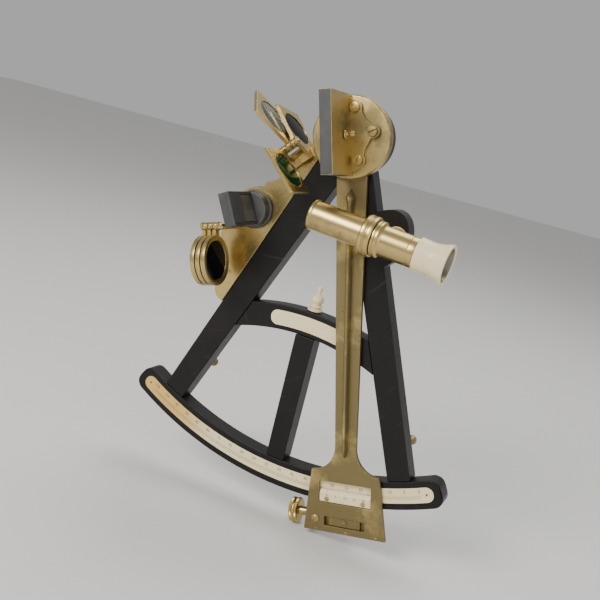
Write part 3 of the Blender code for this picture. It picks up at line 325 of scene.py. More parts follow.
def windowed(outline, centre, radius, low, high, steps=96):
    """A slab round a circular opening. At each angle a sheet runs from the opening's circle to where
    that direction meets the outline, which must be seen whole from the opening's centre."""
    o = np.asarray(outline, float) - centre
    after = np.roll(o, -1, 0)
    corner_turns = np.arctan2(o[:, 1], o[:, 0])
    angle = np.sort(np.concatenate([np.arange(steps) * math.tau / steps - math.pi, corner_turns]))
    way = np.stack([np.cos(angle), np.sin(angle)], -1)[:, None]
    side = (after - o)[None]
    cross = way[..., 0] * side[..., 1] - way[..., 1] * side[..., 0]
    cross = np.where(np.abs(cross) < 1e-9, 1e-9, cross)
    reach = (o[None, :, 0] * side[..., 1] - o[None, :, 1] * side[..., 0]) / cross
    place = (o[None, :, 0] * way[..., 1] - o[None, :, 1] * way[..., 0]) / cross
    good = (reach > 0) & (place > -1e-6) & (place < 1 + 1e-6)
    far = np.where(good, reach, 1e9).min(1)
    lines = [centre + way[:, 0] * np.full(len(angle), radius)[:, None], centre + way[:, 0] * far[:, None]]
    points = np.stack(lines).reshape(-1, 2)
    return prism(points, grid_faces(2, len(angle), False, True), low, high)


def cuts(angles, inner, outer, width, low, high):
    """Division lines as small boxes on an arc about the pivot, all at once: each has its four corners
    at the angle plus and minus half the width, at two heights."""
    angles = np.asarray(angles, float)[:, None]
    inner, outer = (np.broadcast_to(np.asarray(r, float).reshape(-1, 1), angles.shape)
                    for r in (inner, outer))
    radius = np.concatenate([inner, inner, outer, outer], 1)
    lean = np.concatenate([-inner, inner, outer, -outer], 1)
    turn = angles + np.sign(lean) * width / 2 / radius
    flat = np.stack([radius * np.sin(turn), -radius * np.cos(turn)], -1)
    both = np.concatenate([np.concatenate([flat, np.full_like(flat[..., :1], h)], -1)
                           for h in (low, high)], 1)
    shape = np.array([[0, 3, 2, 1], [4, 5, 6, 7], [0, 1, 5, 4], [1, 2, 6, 5], [2, 3, 7, 6], [3, 0, 4, 7]])
    faces = np.arange(len(angles))[:, None, None] * 8 + shape[None]
    return both.reshape(-1, 3), faces.reshape(-1, 4).tolist()


def figure(text, size):
    """One number as a flat shape a hair thick, centred on its own place."""
    curve = bpy.data.curves.new("figure", "FONT")
    curve.body = text
    curve.size = size
    curve.align_x, curve.align_y = "CENTER", "CENTER"
    curve.extrude = 0.02
    curve.resolution_u = 3
    holder = bpy.data.objects.new("figure", curve)
    mesh = bpy.data.meshes.new_from_object(holder)
    points = np.empty(len(mesh.vertices) * 3)
    mesh.vertices.foreach_get("co", points)
    faces = [list(face.vertices) for face in mesh.polygons]
    bpy.data.objects.remove(holder)
    bpy.data.curves.remove(curve)
    bpy.data.meshes.remove(mesh)
    return points.reshape(-1, 3), faces


def figures(entries, size, height):
    """Numbers round an arc: each is turned by its angle and set at its radius."""
    shells = []
    for text, angle, radius in entries:
        points, faces = figure(text, size)
        c, s = math.cos(angle), math.sin(angle)
        turned = points @ np.array([[c, s, 0.0], [-s, c, 0.0], [0.0, 0.0, 1.0]])
        shells.append((turned + [radius * s, -radius * c, height], faces))
    return shells


def make(name, shells, base, finish, body, replaces=(), bevel=0.0):
    """Join shells into one object at the scene's origin, with outward faces, riding on its body. A
    bevel, in millimetres, rounds its edges."""
    points, faces, count = [], [], 0
    for shell_points, shell_faces in shells:
        points.append(np.asarray(shell_points, float))
        faces += [[index + count for index in face] for face in shell_faces]
        count += len(shell_points)
    points = np.concatenate(points) * MM @ base[:3, :3].T + base[:3, 3]
    mesh = bpy.data.meshes.new(name)
    mesh.from_pydata(points.tolist(), [], faces)
    bm = bmesh.new()
    bm.from_mesh(mesh)
    bmesh.ops.remove_doubles(bm, verts=bm.verts, dist=SAME_POINT)
    bmesh.ops.recalc_face_normals(bm, faces=bm.faces)
    bm.to_mesh(mesh)
    bm.free()
    mesh.shade_smooth()
    mesh.set_sharp_from_angle(angle=SHARP)
    mesh.materials.append(finish)
    piece = bpy.data.objects.new(name, mesh)
    bpy.context.scene.collection.objects.link(piece)
    if bevel:
        round_off = piece.modifiers.new("round_off", "BEVEL")
        round_off.width = bevel * MM
        round_off.segments = 2
        round_off.limit_method = "ANGLE"
        round_off.angle_limit = BEVELLED
        round_off.harden_normals = True
        round_off.use_clamp_overlap = False
    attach(piece, body)
    if replaces:
        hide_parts(*replaces)
    return piece


# ================================================================== materials
class Wire:
    """A value on its way through a material. Sums on it add Math nodes."""

    def __init__(self, look, socket):
        self.look = look
        self.socket = socket

    def sum(self, operation, *terms):
        """One Math node over the terms."""
        return self.look.node("ShaderNodeMath", {"operation": operation}, dict(enumerate(terms)))[0]

    def __add__(self, other):
        return self.sum("ADD", self, other)

    def __sub__(self, other):
        return self.sum("SUBTRACT", self, other)

    def __rsub__(self, other):
        return self.sum("SUBTRACT", other, self)

    def __mul__(self, other):
        return self.sum("MULTIPLY", self, other)

    __radd__ = __add__
    __rmul__ = __mul__

    def between(self, low, high):
        """0 below low, 1 above high, with a smooth rise."""
        return self.look.node("ShaderNodeMapRange", {"interpolation_type": "SMOOTHSTEP"},
                              {"Value": self, "From Min": low, "From Max": high})[0]


class Look:
    """A material under construction."""

    def __init__(self, name, **constants):
        self.material = bpy.data.materials.new(name)
        self.material.use_nodes = True
        self.nodes = self.material.node_tree.nodes
        self.shader = self.nodes["Principled BSDF"]
        self.place = self.node("ShaderNodeTexCoord", {}, {})["Object"]
        for key, value in constants.items():
            self.shader.inputs[key.replace("_", " ")].default_value = value

    def node(self, kind, settings, sockets):
        """Add a node: its settings first, then its sockets' values or links."""
        node = self.nodes.new(kind)
        for key, value in settings.items():
            setattr(node, key, value)
        for key, value in sockets.items():
            if isinstance(value, Wire):
                self.material.node_tree.links.new(value.socket, node.inputs[key])
            else:
                node.inputs[key].default_value = value
        return Outputs(self, node)

    def stretched(self, scale, lean=0.0):
        """Object coordinates turned by a lean in the frame's plane, then scaled."""
        turned = self.node("ShaderNodeVectorRotate", {"rotation_type": "Y_AXIS"},
                           {"Vector": self.place, "Angle": lean})[0]
        return self.node("ShaderNodeVectorMath", {"operation": "MULTIPLY"}, {0: turned, 1: scale})[0]

    def noise(self, scale, detail=3.0, roughness=0.55, place=None):
        """Fractal noise, from 0 to 1."""
        return self.node("ShaderNodeTexNoise", {}, {"Vector": place or self.place, "Scale": scale,
                                                    "Detail": detail, "Roughness": roughness})[0]

    def specks(self, scale, size, place=None):
        """1 in small round spots round scattered points, 0 elsewhere."""
        sockets = {"Vector": place or self.place, "Scale": scale}
        distance = self.node("ShaderNodeTexVoronoi", {}, sockets)[0]
        return 1 - distance.between(size * 0.5, size)

    def mix(self, share, first, second):
        """From the first colour to the second."""
        colours = {6: first, 7: second}
        colours = {key: (*value, 1.0) if isinstance(value, tuple) else value
                   for key, value in colours.items()}
        return self.node("ShaderNodeMix", {"data_type": "RGBA"}, {0: share, **colours})[2]

    def finish(self, colour, roughness, height=None, strength=0.2, reach=0.0002):
        """Join what varies to the shader, and return the material."""
        links = self.material.node_tree.links
        links.new(colour.socket, self.shader.inputs["Base Color"])
        links.new(roughness.socket, self.shader.inputs["Roughness"])
        if height is not None:
            bump = self.node("ShaderNodeBump", {}, {"Height": height, "Strength": strength,
                                                    "Distance": reach})[0]
            links.new(bump.socket, self.shader.inputs["Normal"])
        return self.material


class Outputs:
    """A node's outputs, by name or number."""

    def __init__(self, look, node):
        self.look = look
        self.outputs = node.outputs

    def __getitem__(self, key):
        return Wire(self.look, self.outputs[key])


def brass(name, share, rough=0.30, lean=0.0, brushed=0.25):
    """Old lacquered brass: cloudy tarnish over a share of it, dark specks where the lacquer has gone,
    hairlines brushed along a lean, and small dents."""
    settings = bpy.context.scene.octant_brass
    bright, tarnish = tuple(settings.bright), tuple(settings.dull)
    look = Look(name, Metallic=1.0)
    cloud = look.noise(55.0, 5.0, 0.62)
    broad = look.noise(14.0, 2.0)
    stain = (cloud * 0.6 + broad * 0.4).between(0.62 - share * 0.3, 0.80 - share * 0.3)
    spot = look.specks(260.0, 0.16) * look.noise(40.0).between(0.5, 0.6)
    hair = look.noise(1.0, 2.0, 0.7, look.stretched((5200.0, 5200.0, 90.0), lean))
    dent = look.noise(330.0, 2.0)
    colour = look.mix(stain * 0.85, bright, tarnish)
    colour = look.mix(spot * 0.7, colour, (tarnish[0] * 0.3, tarnish[1] * 0.25, tarnish[2] * 0.2))
    roughness = rough + 0.05 + stain * 0.18 + (hair - 0.5) * 0.14 + spot * 0.2
    return look.finish(colour, roughness, hair * brushed + dent * 0.5 - spot, 0.10, 0.0002)


def ebony(name, lean):
    """Oiled ebony: grain lines along the member, pores, and brown where hands have worn it."""
    settings = bpy.context.scene.octant_wood
    look = Look(name, Specular_IOR_Level=0.28)
    along = look.stretched((1.0, 1.0, 0.06), lean)
    grain = look.noise(620.0, 4.0, 0.65, along)
    pores = look.noise(1900.0, 2.0, 0.6, along).between(0.56, 0.68)
    wear = look.noise(22.0, 4.0, 0.6).between(0.52, 0.78)
    slanted = look.stretched((0.12, 1.0, 1.4), lean + 0.5)
    scratch = look.noise(150.0, 5.0, 0.75, slanted).between(0.60, 0.68)
    shade = look.mix(grain * 0.5 + wear * 0.5, tuple(settings.colour), tuple(settings.worn))
    shade = look.mix(scratch * 0.3, shade, (0.06, 0.052, 0.045))
    roughness = 0.30 + grain * 0.16 + wear * 0.10 + pores * 0.2
    return look.finish(shade, roughness, grain * 0.4 - pores * 0.6 - scratch * 0.3, 0.22, 0.00015)


def ivory(name, pale, yellowed, ends=0.0):
    """Polished ivory: faint wavy growth lines, yellow towards the scale's left end by the share given as
    ends, and grey in the scratches."""
    look = Look(name, Coat_Weight=0.15, Coat_Roughness=0.25, Specular_IOR_Level=0.5)
    growth = look.noise(1.0, 2.0, 0.5, look.stretched((900.0, 900.0, 120.0)))
    cloud = look.noise(30.0, 3.0)
    parts = look.node("ShaderNodeSeparateXYZ", {}, {0: look.place})
    left = parts["X"] * (-1.0 / 0.115)
    age = (cloud - 0.35) * 0.8 + left.between(0.35, 1.0) * ends + growth * 0.15
    colour = look.mix(age.between(0.0, 1.0), pale, yellowed)
    dirt = look.noise(420.0, 4.0, 0.7).between(0.60, 0.74)
    colour = look.mix(dirt * 0.35, colour, (yellowed[0] * 0.45, yellowed[1] * 0.38, yellowed[2] * 0.3))
    return look.finish(colour, 0.34 + cloud * 0.12 + dirt * 0.15, growth * 0.3 - dirt * 0.5, 0.10, 0.0001)


def dark_metal(name, colour, rubbed, rough, metallic=0.75):
    """Chemically darkened brass: mottled, paler where it is rubbed, with a fine tooth."""
    look = Look(name, Metallic=metallic)
    mottle = look.noise(120.0, 5.0, 0.65)
    rub = look.noise(34.0, 3.0).between(0.50, 0.72)
    tooth = look.noise(2400.0, 2.0)
    shade = look.mix(mottle * 0.5 + rub * 0.5, colour, rubbed)
    roughness = rough + mottle * 0.14 - rub * 0.06
    return look.finish(shade, roughness, tooth * 0.5 + mottle * 0.5, 0.18, 0.0001)


def glass(name, colour, rough, **constants):
    """Polished glass with faint sleeks and dust, its body colour given."""
    look = Look(name, **constants)
    sleek = look.noise(900.0, 3.0, 0.7, look.stretched((1.0, 1.0, 0.1), 0.7)).between(0.58, 0.7)
    dust = look.noise(160.0, 4.0, 0.7).between(0.55, 0.75)
    shade = look.mix(dust * 0.06, colour, (0.16, 0.15, 0.13))
    return look.finish(shade, rough + dust * 0.10 + sleek * 0.05, sleek, 0.02, 0.00005)


def ink(name):
    """Black wax rubbed into engraved lines, greyer where it has worn."""
    look = Look(name, Specular_IOR_Level=0.3)
    worn = look.noise(180.0, 3.0).between(0.40, 0.75)
    return look.finish(look.mix(worn, (0.020, 0.016, 0.012), (0.10, 0.075, 0.045)), 0.55 + worn * 0.2)


def backdrop(name, colour):
    """Matt paper, with a faint tooth."""
    look = Look(name, Specular_IOR_Level=0.2)
    tooth = look.noise(300.0, 3.0)
    tint = tuple(channel * 0.97 for channel in colour)
    return look.finish(look.mix(tooth, colour, tint), 0.80 + tooth * 0.1, tooth, 0.05, 0.0002)


# ================================================================== settings
class OctantWood(bpy.types.PropertyGroup):
    """Wooden frame."""
    edge: bpy.props.FloatProperty(
        name="Edge Rounding", description="Radius worn onto the wood's edges", default=0.0007,
        min=0.0, unit="LENGTH")
    colour: bpy.props.FloatVectorProperty(
        name="Ebony", description="Colour of the oiled ebony", default=(0.0045, 0.0042, 0.0045),
        subtype="COLOR")
    worn: bpy.props.FloatVectorProperty(
        name="Worn Ebony", description="Colour where hands have worn the ebony",
        default=(0.014, 0.011, 0.009), subtype="COLOR")


class OctantIvory(bpy.types.PropertyGroup):
    """Ivory scale, note plate, vernier, pencil and eye cup."""
    figure_size: bpy.props.FloatProperty(
        name="Figure Height", description="Size of the scale's numbers", default=0.0030,
        unit="LENGTH")
    line: bpy.props.FloatProperty(
        name="Division Width", description="Width of an engraved division", default=0.00009,
        unit="LENGTH")
    colour: bpy.props.FloatVectorProperty(
        name="Ivory", description="Colour of the scale", default=(0.93, 0.81, 0.50), subtype="COLOR")
    aged: bpy.props.FloatVectorProperty(
        name="Aged Ivory", description="Colour of the scale's yellowed end",
        default=(0.74, 0.47, 0.13), subtype="COLOR")
    white: bpy.props.FloatVectorProperty(
        name="White Ivory", description="Colour of the pencil and the eye cup",
        default=(0.90, 0.76, 0.47), subtype="COLOR")


class OctantBrass(bpy.types.PropertyGroup):
    """Brass fittings."""
    edge: bpy.props.FloatProperty(
        name="Edge Rounding", description="Radius on the brass plates' edges", default=0.0003,
        min=0.0, unit="LENGTH")
    slot: bpy.props.FloatProperty(
        name="Screw Slot", description="Width of the screws' slots", default=0.0010, unit="LENGTH")
    teeth: bpy.props.IntProperty(
        name="Milling", description="Teeth round the tangent screw's knob", default=60, min=12)
    bright: bpy.props.FloatVectorProperty(
        name="Brass", description="Colour of the kept brass", default=(0.56, 0.425, 0.175),
        subtype="COLOR")
    dull: bpy.props.FloatVectorProperty(
        name="Dull Brass", description="Colour of the tarnished brass", default=(0.205, 0.165, 0.080),
        subtype="COLOR")


class OctantGlass(bpy.types.PropertyGroup):
    """Mirrors, lenses and shades."""
    green: bpy.props.FloatVectorProperty(
        name="Green Shade", description="Colour of the green glass", default=(0.002, 0.036, 0.008),
        subtype="COLOR")
    smoke: bpy.props.FloatVectorProperty(
        name="Dark Shades", description="Colour of the near black glass",
        default=(0.004, 0.004, 0.006), subtype="COLOR")
    dark: bpy.props.FloatVectorProperty(
        name="Darkened Brass", description="Colour of the mirrors' holders",
        default=(0.070, 0.072, 0.074), subtype="COLOR")


class OctantStage(bpy.types.PropertyGroup):
    """Floor, lights and camera."""
    floor: bpy.props.FloatVectorProperty(
        name="Floor", description="Colour of the floor", default=(0.78, 0.77, 0.75), subtype="COLOR")
    key: bpy.props.FloatProperty(
        name="Key Light", description="Strength of the main light", default=15.0, unit="POWER")
    lens: bpy.props.FloatProperty(
        name="Lens", description="Focal length in millimetres", default=51.0)


# ================================================================== wooden frame
def limb_half(top, foot, along):
    """Half-width of a limb, which tapers evenly from the head to the arc."""
    return top + (foot - top) * (along - HEAD) / (ARC_IN - HEAD)


PLATE_TOP = [(26.2, 12.2), (18.5, 18.3), (16.5, 21.2), (19.5, 22.2), (44.0, 22.6), (56.6, 28.6),
             (61.9, 33.1), (65.6, 33.2), (68.0, 35.0), (70.2, 39.3)]
PLATE_SWELL = [(77.0, 44.0), (88.0, 46.6), (102.0, 44.2), (115.0, 39.0), (131.0, 28.8), (146.0, 21.2)]
PLATE_FOOT = [(150.2, 17.0), (151.2, 13.4)]


def plate_edge(inner_top, inner_foot):
    """Edge of the horizon plate on the left limb's seat, closed on the limb's side at two depths."""
    swell = soften([PLATE_TOP[-1]] + PLATE_SWELL + [PLATE_FOOT[0]], 6.0, 5)[1:-1].tolist()
    outline = [(151.0, inner_foot)] + [(26.2, inner_top)] + PLATE_TOP[1:] + swell + PLATE_FOOT
    return [(along, -out) for along, out in outline]


class OCTANT_OT_frame(bpy.types.Operator):
    """Make the ebony head, limbs, arc, cross bar and post"""
    bl_idname = "octant.frame"
    bl_label = "Wooden Frame"

    def execute(self, context):
        edge = context.scene.octant_wood.edge / MM
        along = np.linspace(HEAD + GAP, ARC_IN - GAP, 120)
        inner = limb_half(9.2, 8.3, along)
        outer = limb_half(12.0, 8.3, along)
        lobe = plate(plate_edge(2.0, 2.0), 0.05 - WOOD, -3.2)
        make("ebony_left_limb", [strip(along, -outer, inner, -WOOD, 0.0), lobe], LEFT,
             ebony("ebony_left", -SPREAD), "frame", ["left_limb"], bevel=edge)
        outer = limb_half(9.2, 7.8, along)
        ear = EAR_OUT + np.sqrt(np.clip(EAR_RADIUS ** 2 - (along - EAR_ALONG) ** 2, 0.0, None))
        outer = np.where(np.abs(along - EAR_ALONG) < EAR_RADIUS, np.maximum(ear, outer), outer)
        make("ebony_right_limb", [strip(along, -inner, outer, -WOOD, 0.0, 5)], RIGHT,
             ebony("ebony_right", SPREAD), "frame", ["right_limb"], bevel=edge)
        make("ebony_arc", [curved_strip(ARC_IN, ARC_OUT, ARC_HALF, ARC_CORNER, -WOOD, 0.0, (0.0, -1))],
             WOODEN, ebony("ebony_arc", math.pi / 2), "frame", ["arc_limb"], bevel=edge)

        radii = np.linspace(BAR_IN, BAR_OUT, 3)
        s, c = math.sin(SPREAD), math.cos(SPREAD)
        near, far = (np.array([r * s - limb_half(9.2, 8.3, r) * c, -r * c - limb_half(9.2, 8.3, r) * s])
                     for r in (ARC_IN, HEAD))
        way = (far - near) / np.linalg.norm(far - near)
        offset = near - [0.0, BAR_CENTRE]
        reach = -offset @ way + np.sqrt((offset @ way) ** 2 - offset @ offset + radii ** 2)
        ends = offset[None] + reach[:, None] * way[None]
        lean = np.arctan2(ends[:, 0], ends[:, 1]) - GAP / radii
        angle = np.linspace(-1.0, 1.0, 48)[:, None] * lean[None]
        rows = np.ones(48)
        make("ebony_cross_bar", [strip(angle, rows * BAR_IN, rows * BAR_OUT, -WOOD, 0.0, 3,
                                       (BAR_CENTRE, 1))],
             WOODEN, ebony("ebony_bar", math.pi / 2), "frame", ["cross_bar"], bevel=edge)

        share = np.linspace(0.0, 1.0, 9)[:, None]
        x = np.linspace(-1.0, 1.0, 5)[None] * (7.2 - 0.4 * share)
        top = BAR_CENTRE + np.sqrt((BAR_IN - GAP) ** 2 - x ** 2)
        foot = -np.sqrt((ARC_IN - GAP) ** 2 - x ** 2)
        points = np.stack([x, top + share * (foot - top)], -1).reshape(-1, 2)
        make("ebony_post", [prism(points, grid_faces(9, 5), -WOOD, 0.0)], WOODEN,
             ebony("ebony_post", 0.0), "frame", ["centre_post"], bevel=edge)
        make("ebony_head", [bar(8.3, HEAD, -WOOD, 0.0, edge, 96)], WOODEN, ebony("ebony_head", 0.4),
             "frame", ["head_block"])
        return {"FINISHED"}


# ================================================================== ivory
def marks_at(degrees):
    """Angles from straight down of the given readings, at half their value."""
    return ZERO - np.radians(np.asarray(degrees, float)) / 2


class OCTANT_OT_ivory(bpy.types.Operator):
    """Make the scale with its divisions and numbers, the note plate and the pencil"""
    bl_idname = "octant.ivory"
    bl_label = "Ivory"

    def execute(self, context):
        settings = context.scene.octant_ivory
        line, size = settings.line / MM, settings.figure_size / MM
        bone = ivory("scale_ivory", tuple(settings.colour), tuple(settings.aged), 1.0)
        wax = ink("scale_ink")
        round_end = (SCALE_OUT - SCALE_IN) / 2 - 0.02
        make("ivory_scale", [curved_strip(SCALE_IN, SCALE_OUT, SCALE_HALF, round_end, -1.5, 0.06,
                                          (0.0, -1))],
             WOODEN, bone, "frame", ["scale_strip"], bevel=0.12)
        fine = marks_at(np.arange(0, 3 * 105 + 1) / 3)
        ones = marks_at(np.arange(0, 106))
        fives = marks_at(np.arange(0, 106, 5))
        low, high = 0.04, 0.085
        shells = [cuts(fine, 241.6, 243.1, line, low, high), cuts(ones, 240.9, 243.6, line, low, high),
                  cuts(fives, 240.2, 244.4, line * 1.3, low, high)]
        border = np.linspace(marks_at(105), marks_at(0), 200)
        shells += [strip(border, np.full(200, r), np.full(200, r + line), low, high, 2, (0.0, -1))
                   for r in (241.6, 243.1)]
        shells += figures([(str(value), angle, 238.4) for value, angle in
                           zip(range(0, 106, 5), marks_at(range(0, 106, 5)))], size, 0.07)
        make("scale_divisions", shells, WOODEN, wax, "frame")
        make("scale_rivets", [moved(turning([(0.0, 0.0), (0.75, 0.0), (0.7, 0.25), (0.0, 0.4)], 0.1, 16),
                                    (side * 241.0 * math.sin(SCALE_HALF - 0.020),
                                     -241.0 * math.cos(SCALE_HALF - 0.020), 0.0)) for side in (-1, 1)],
             WOODEN, dark_metal("rivet_metal", (0.10, 0.06, 0.03), (0.25, 0.15, 0.06), 0.4), "frame")

        note_end = (NOTE_OUT - NOTE_IN) / 2 - 0.02
        half = NOTE_HALF / ((NOTE_IN + NOTE_OUT) / 2)
        make("ivory_note_plate", [curved_strip(NOTE_IN, NOTE_OUT, half, note_end, -1.5, 0.06,
                                               (BAR_CENTRE, 1), 40)],
             WOODEN, ivory("note_ivory", tuple(settings.colour), tuple(settings.aged)), "frame",
             ["note_plate"], bevel=0.12)

        h = 18.3
        turned = [(0.0, h), (1.3, h - 0.3), (2.2, h - 1.7), (2.1, h - 3.1), (1.2, h - 4.4), (1.7, h - 5.4),
                  (3.7, h - 7.2), (4.8, h - 9.6), (4.2, h - 11.8), (3.1, h - 13.2), (4.7, h - 13.9),
                  (4.8, h - 14.7), (3.1, h - 15.6), (5.2, h - 16.2), (5.4, h - 17.0), (5.2, GAP),
                  (2.2, GAP), (2.2, -40.0), (0.0, -44.0)]
        make("pencil_finial", [turning(turned, 0.8, 48)],
             aimed(WOODEN, (0.0, BAR_CENTRE + BAR_OUT, -WOOD / 2), (0, 1, 0)),
             ivory("pencil_ivory", tuple(settings.white), (0.62, 0.47, 0.26)), "pencil", ["pencil"])
        return {"FINISHED"}


# ================================================================== pivot and feet
class OCTANT_OT_pivot(bpy.types.Operator):
    """Make the pivot's bush, axle and nut, and the three feet"""
    bl_idname = "octant.pivot"
    bl_label = "Pivot and Feet"

    def execute(self, context):
        metal = brass("foot_brass", 0.8)
        bush = [(15.0, -3.0), (15.0, 0.0), (5.3, 0.0), (5.3, -WOOD), (8.0, -WOOD), (8.0, -3.0)]
        make("pivot_bush_ring", [turning(bush, 0.3, 72)], WOODEN, metal, "frame", ["pivot_bush"])
        steel = dark_metal("axle_steel", (0.22, 0.22, 0.22), (0.42, 0.42, 0.41), 0.3, 1.0)
        make("pivot_axle", [bar(0.0, 5.0, -17.6, 0.5, 0.4, 48)], ARM, steel, "index_arm",
             ["index_axle"])
        make("pivot_nut",
             [bar(5.3, 7.2, -17.0, -14.4, 0.3, teeth=24, depth=0.25, bands=((-16.7, -14.7),))],
             ARM, metal, "index_arm", ["axle_nut"])
        rest = -(WOOD + 27.0)
        cap = [(0.0, rest), (6.0, rest), (7.2, rest + 0.8), (7.6, rest + 3.0), (6.2, rest + 7.0),
               (6.6, -25.0), (9.2, -21.5), (10.4, -19.0), (10.8, -14.3), (8.2, -14.3), (8.2, -18.6),
               (0.0, -18.6)]
        make("apex_foot_cap", [turning(cap, 0.9, 72)], WOODEN, metal, "frame", ["apex_foot"])
        knob = [(0.0, -27.0), (2.6, -27.0), (3.4, -26.0), (3.6, -24.6), (3.1, -23.0), (2.2, -21.8),
                (2.6, -15.0), (2.9, -5.0), (4.0, -3.6), (4.2, -1.8), (3.6, -GAP), (0.0, -GAP)]
        for side, base, along in (("left", LEFT, ARC_IN - 20.5), ("right", RIGHT, ARC_IN - 19.0)):
            make(f"{side}_foot_knob", [moved(turning(knob, 0.6, 48), (along, 0.0, -WOOD))], base, metal,
                 "frame", [f"{side}_foot"])
        return {"FINISHED"}


# ================================================================== index arm
class OCTANT_OT_index_arm(bpy.types.Operator):
    """Make the index arm with its disc, rib and openings, the vernier and its screws"""
    bl_idname = "octant.index_arm"
    bl_label = "Index Arm"

    def execute(self, context):
        settings = context.scene.octant_brass
        edge, slot = settings.edge / MM, settings.slot / MM
        lean = axis_turn("clamp_travel")
        metal = brass("arm_brass", 1.0, 0.34, lean, 0.5)

        # The bar flares by a quarter ellipse into the index plate, which widens evenly to its end. The
        # vernier's window lies between the first two of its lines, the clamp's slot between the next two.
        flare_start, flare_end, plate_end, plate_half = 209.0, 227.0, 271.0, 24.8
        flare = np.linspace(0.0, math.pi / 2, 12)
        lines = np.array([234.5, 249.7, 259.7, 266.3, plate_end])
        along = np.concatenate([[20.0], flare_start + (flare_end - flare_start) * np.sin(flare), lines])
        widening = (lines - flare_end) / (plate_end - flare_end)
        half = np.concatenate([[10.7], plate_half - 17.1 * np.cos(flare), plate_half + 5.2 * widening])
        outer, inner = np.minimum(19.0, half * 0.77), np.minimum(14.7, half * 0.59)
        across = np.stack([-half, -outer, -inner, inner, outer, half], -1)
        points = np.stack([across, np.broadcast_to(-along[:, None], across.shape)], -1).reshape(-1, 2)
        faces = grid_faces(len(along), 6).reshape(-1, 5, 4)
        window = np.flatnonzero(along == lines[0])[0]
        keep = np.ones(faces.shape[:2], bool)
        keep[window, 1:4] = False
        keep[window + 2, 2] = False
        # The rib is a row of loops, each half an oval over the bar and closed inside it. It swells
        # near its top and tapers at both ends.
        rib_top, rib_foot, rib_root, loops, bend = 33.0, 216.0, ARM_TOP - 0.4, 90, 9
        rows = np.linspace(rib_top, rib_foot, loops)
        share = (rows - rib_top) / (rib_foot - rib_top)
        bulb = np.exp(-((rows - 38.5) / 3.0) ** 2) * 1.3
        taper = np.clip((rows - rib_top + 0.1) / 6.0, 0.02, 1.0) ** 0.8
        taper *= np.clip((rib_foot + 0.1 - rows) / 5.0, 0.02, 1.0) ** 0.6
        rib_half, rib_high = (1.9 - 0.3 * share + bulb) * taper, 5.5 * taper
        turn = np.linspace(0.0, math.pi, bend)[None, :]
        over = np.stack([rib_half[:, None] * np.cos(turn), np.broadcast_to(-rows[:, None], (loops, bend)),
                         ARM_TOP + rib_high[:, None] * np.sin(turn) ** 0.7], -1)
        under = over[:, [-1, 0]] * [1, 1, 0] + [0, 0, rib_root]
        loop = np.concatenate([over, under], 1)
        first = np.arange(bend + 2)
        ends = [first[::-1].tolist(), (first + (loops - 1) * len(first)).tolist()]
        rib = loop.reshape(-1, 3), grid_faces(loops, len(first), False, True).tolist() + ends
        make("index_arm_bar", [prism(points, faces[keep], ARM_BACK, ARM_TOP), rib], ARM, metal,
             "index_arm", ["index_arm"], bevel=edge)
        disc = [(0.0, 1.0), (27.1, 1.0), (27.1, 7.1), (26.2, DISC_TOP), (0.0, DISC_TOP)]
        make("index_arm_disc", [turning(disc, 0.35, 128)], ARM,
             brass("disc_brass", 0.45, 0.30, lean, 0.15), "index_arm")

        ivory_set = context.scene.octant_ivory
        bone = ivory("vernier_ivory", tuple(ivory_set.colour), tuple(ivory_set.aged))
        wedge = [(-249.4, 0.9), (-241.0, 0.9), (-241.0, 1.1), (-243.4, 2.9), (-249.4, 2.9)]
        make("vernier_plate", [sideways(plate(wedge, -18.7, 18.7))], ARM, bone, "index_arm",
             ["vernier"], bevel=0.15)
        # Twenty divisions take up nineteen of the scale's, which are a third of a degree each at half
        # their value. Their lines climb the plate's bevelled edge.
        step = math.radians(19.0 / 3 / 20 / 2) * 2
        angle = np.arange(-10, 11) * step
        line = ivory_set.line / MM
        bevel_start, bevel_high, bevel_slope = 241.0, 1.8, 1.8 / 2.4
        shells = []
        for turns, outer in ((angle, 242.5), (angle[::5], 243.3)):
            points, faces = cuts(turns, 241.1, outer, line, 0.0, 0.05)
            up = np.clip((np.abs(points[:, 1]) - bevel_start) * bevel_slope, 0.0, bevel_high)
            shells.append((points + np.column_stack([np.zeros((len(points), 2)), up + 1.1]), faces))
        size = ivory_set.figure_size / MM * 0.8
        shells += figures([(str(5 * k), (k - 2) * step * 5, 245.0) for k in range(5)], size, 2.92)
        make("vernier_divisions", shells, ARM, ink("vernier_ink"), "index_arm")
        small = brass("small_screw_brass", 0.5)
        for name, x in (("left", -13.3), ("right", 13.3)):
            place = (x, -247.2, 2.9)
            head = slotted(1.6, 0.9, 0.0, 0.3, slot * 0.5, 0.4, 0.5 + x)
            make(f"vernier_screw_{name}_head",
                 [moved(head, place), moved(bar(0.0, 0.6, -1.8, 0.1, 0.05, 16), place)],
                 ARM, small, "index_arm", [f"vernier_screw_{name}"])
        pin = turning([(0.0, 0.0), (0.75, 0.0), (0.7, 0.12), (0.0, 0.2)], 0.05, 20)
        pins = [moved(pin, (x, -269.3, ARM_TOP)) for x in (-21.0, 1.5, 23.5)]
        pins.append(moved(slotted(2.75, 1.5, 0.0, 0.9, slot, 0.5, 0.9), (-21.4, -262.3, ARM_TOP)))
        make("index_plate_pins", pins, ARM, small, "index_arm")
        make("bearing_block", [block((-27.5, -22.0), (-268.0, -256.0), (-10.5, 0.5))], ARM,
             brass("bearing_brass", 0.9), "index_arm", ["tangent_bearing"], bevel=0.4)
        return {"FINISHED"}


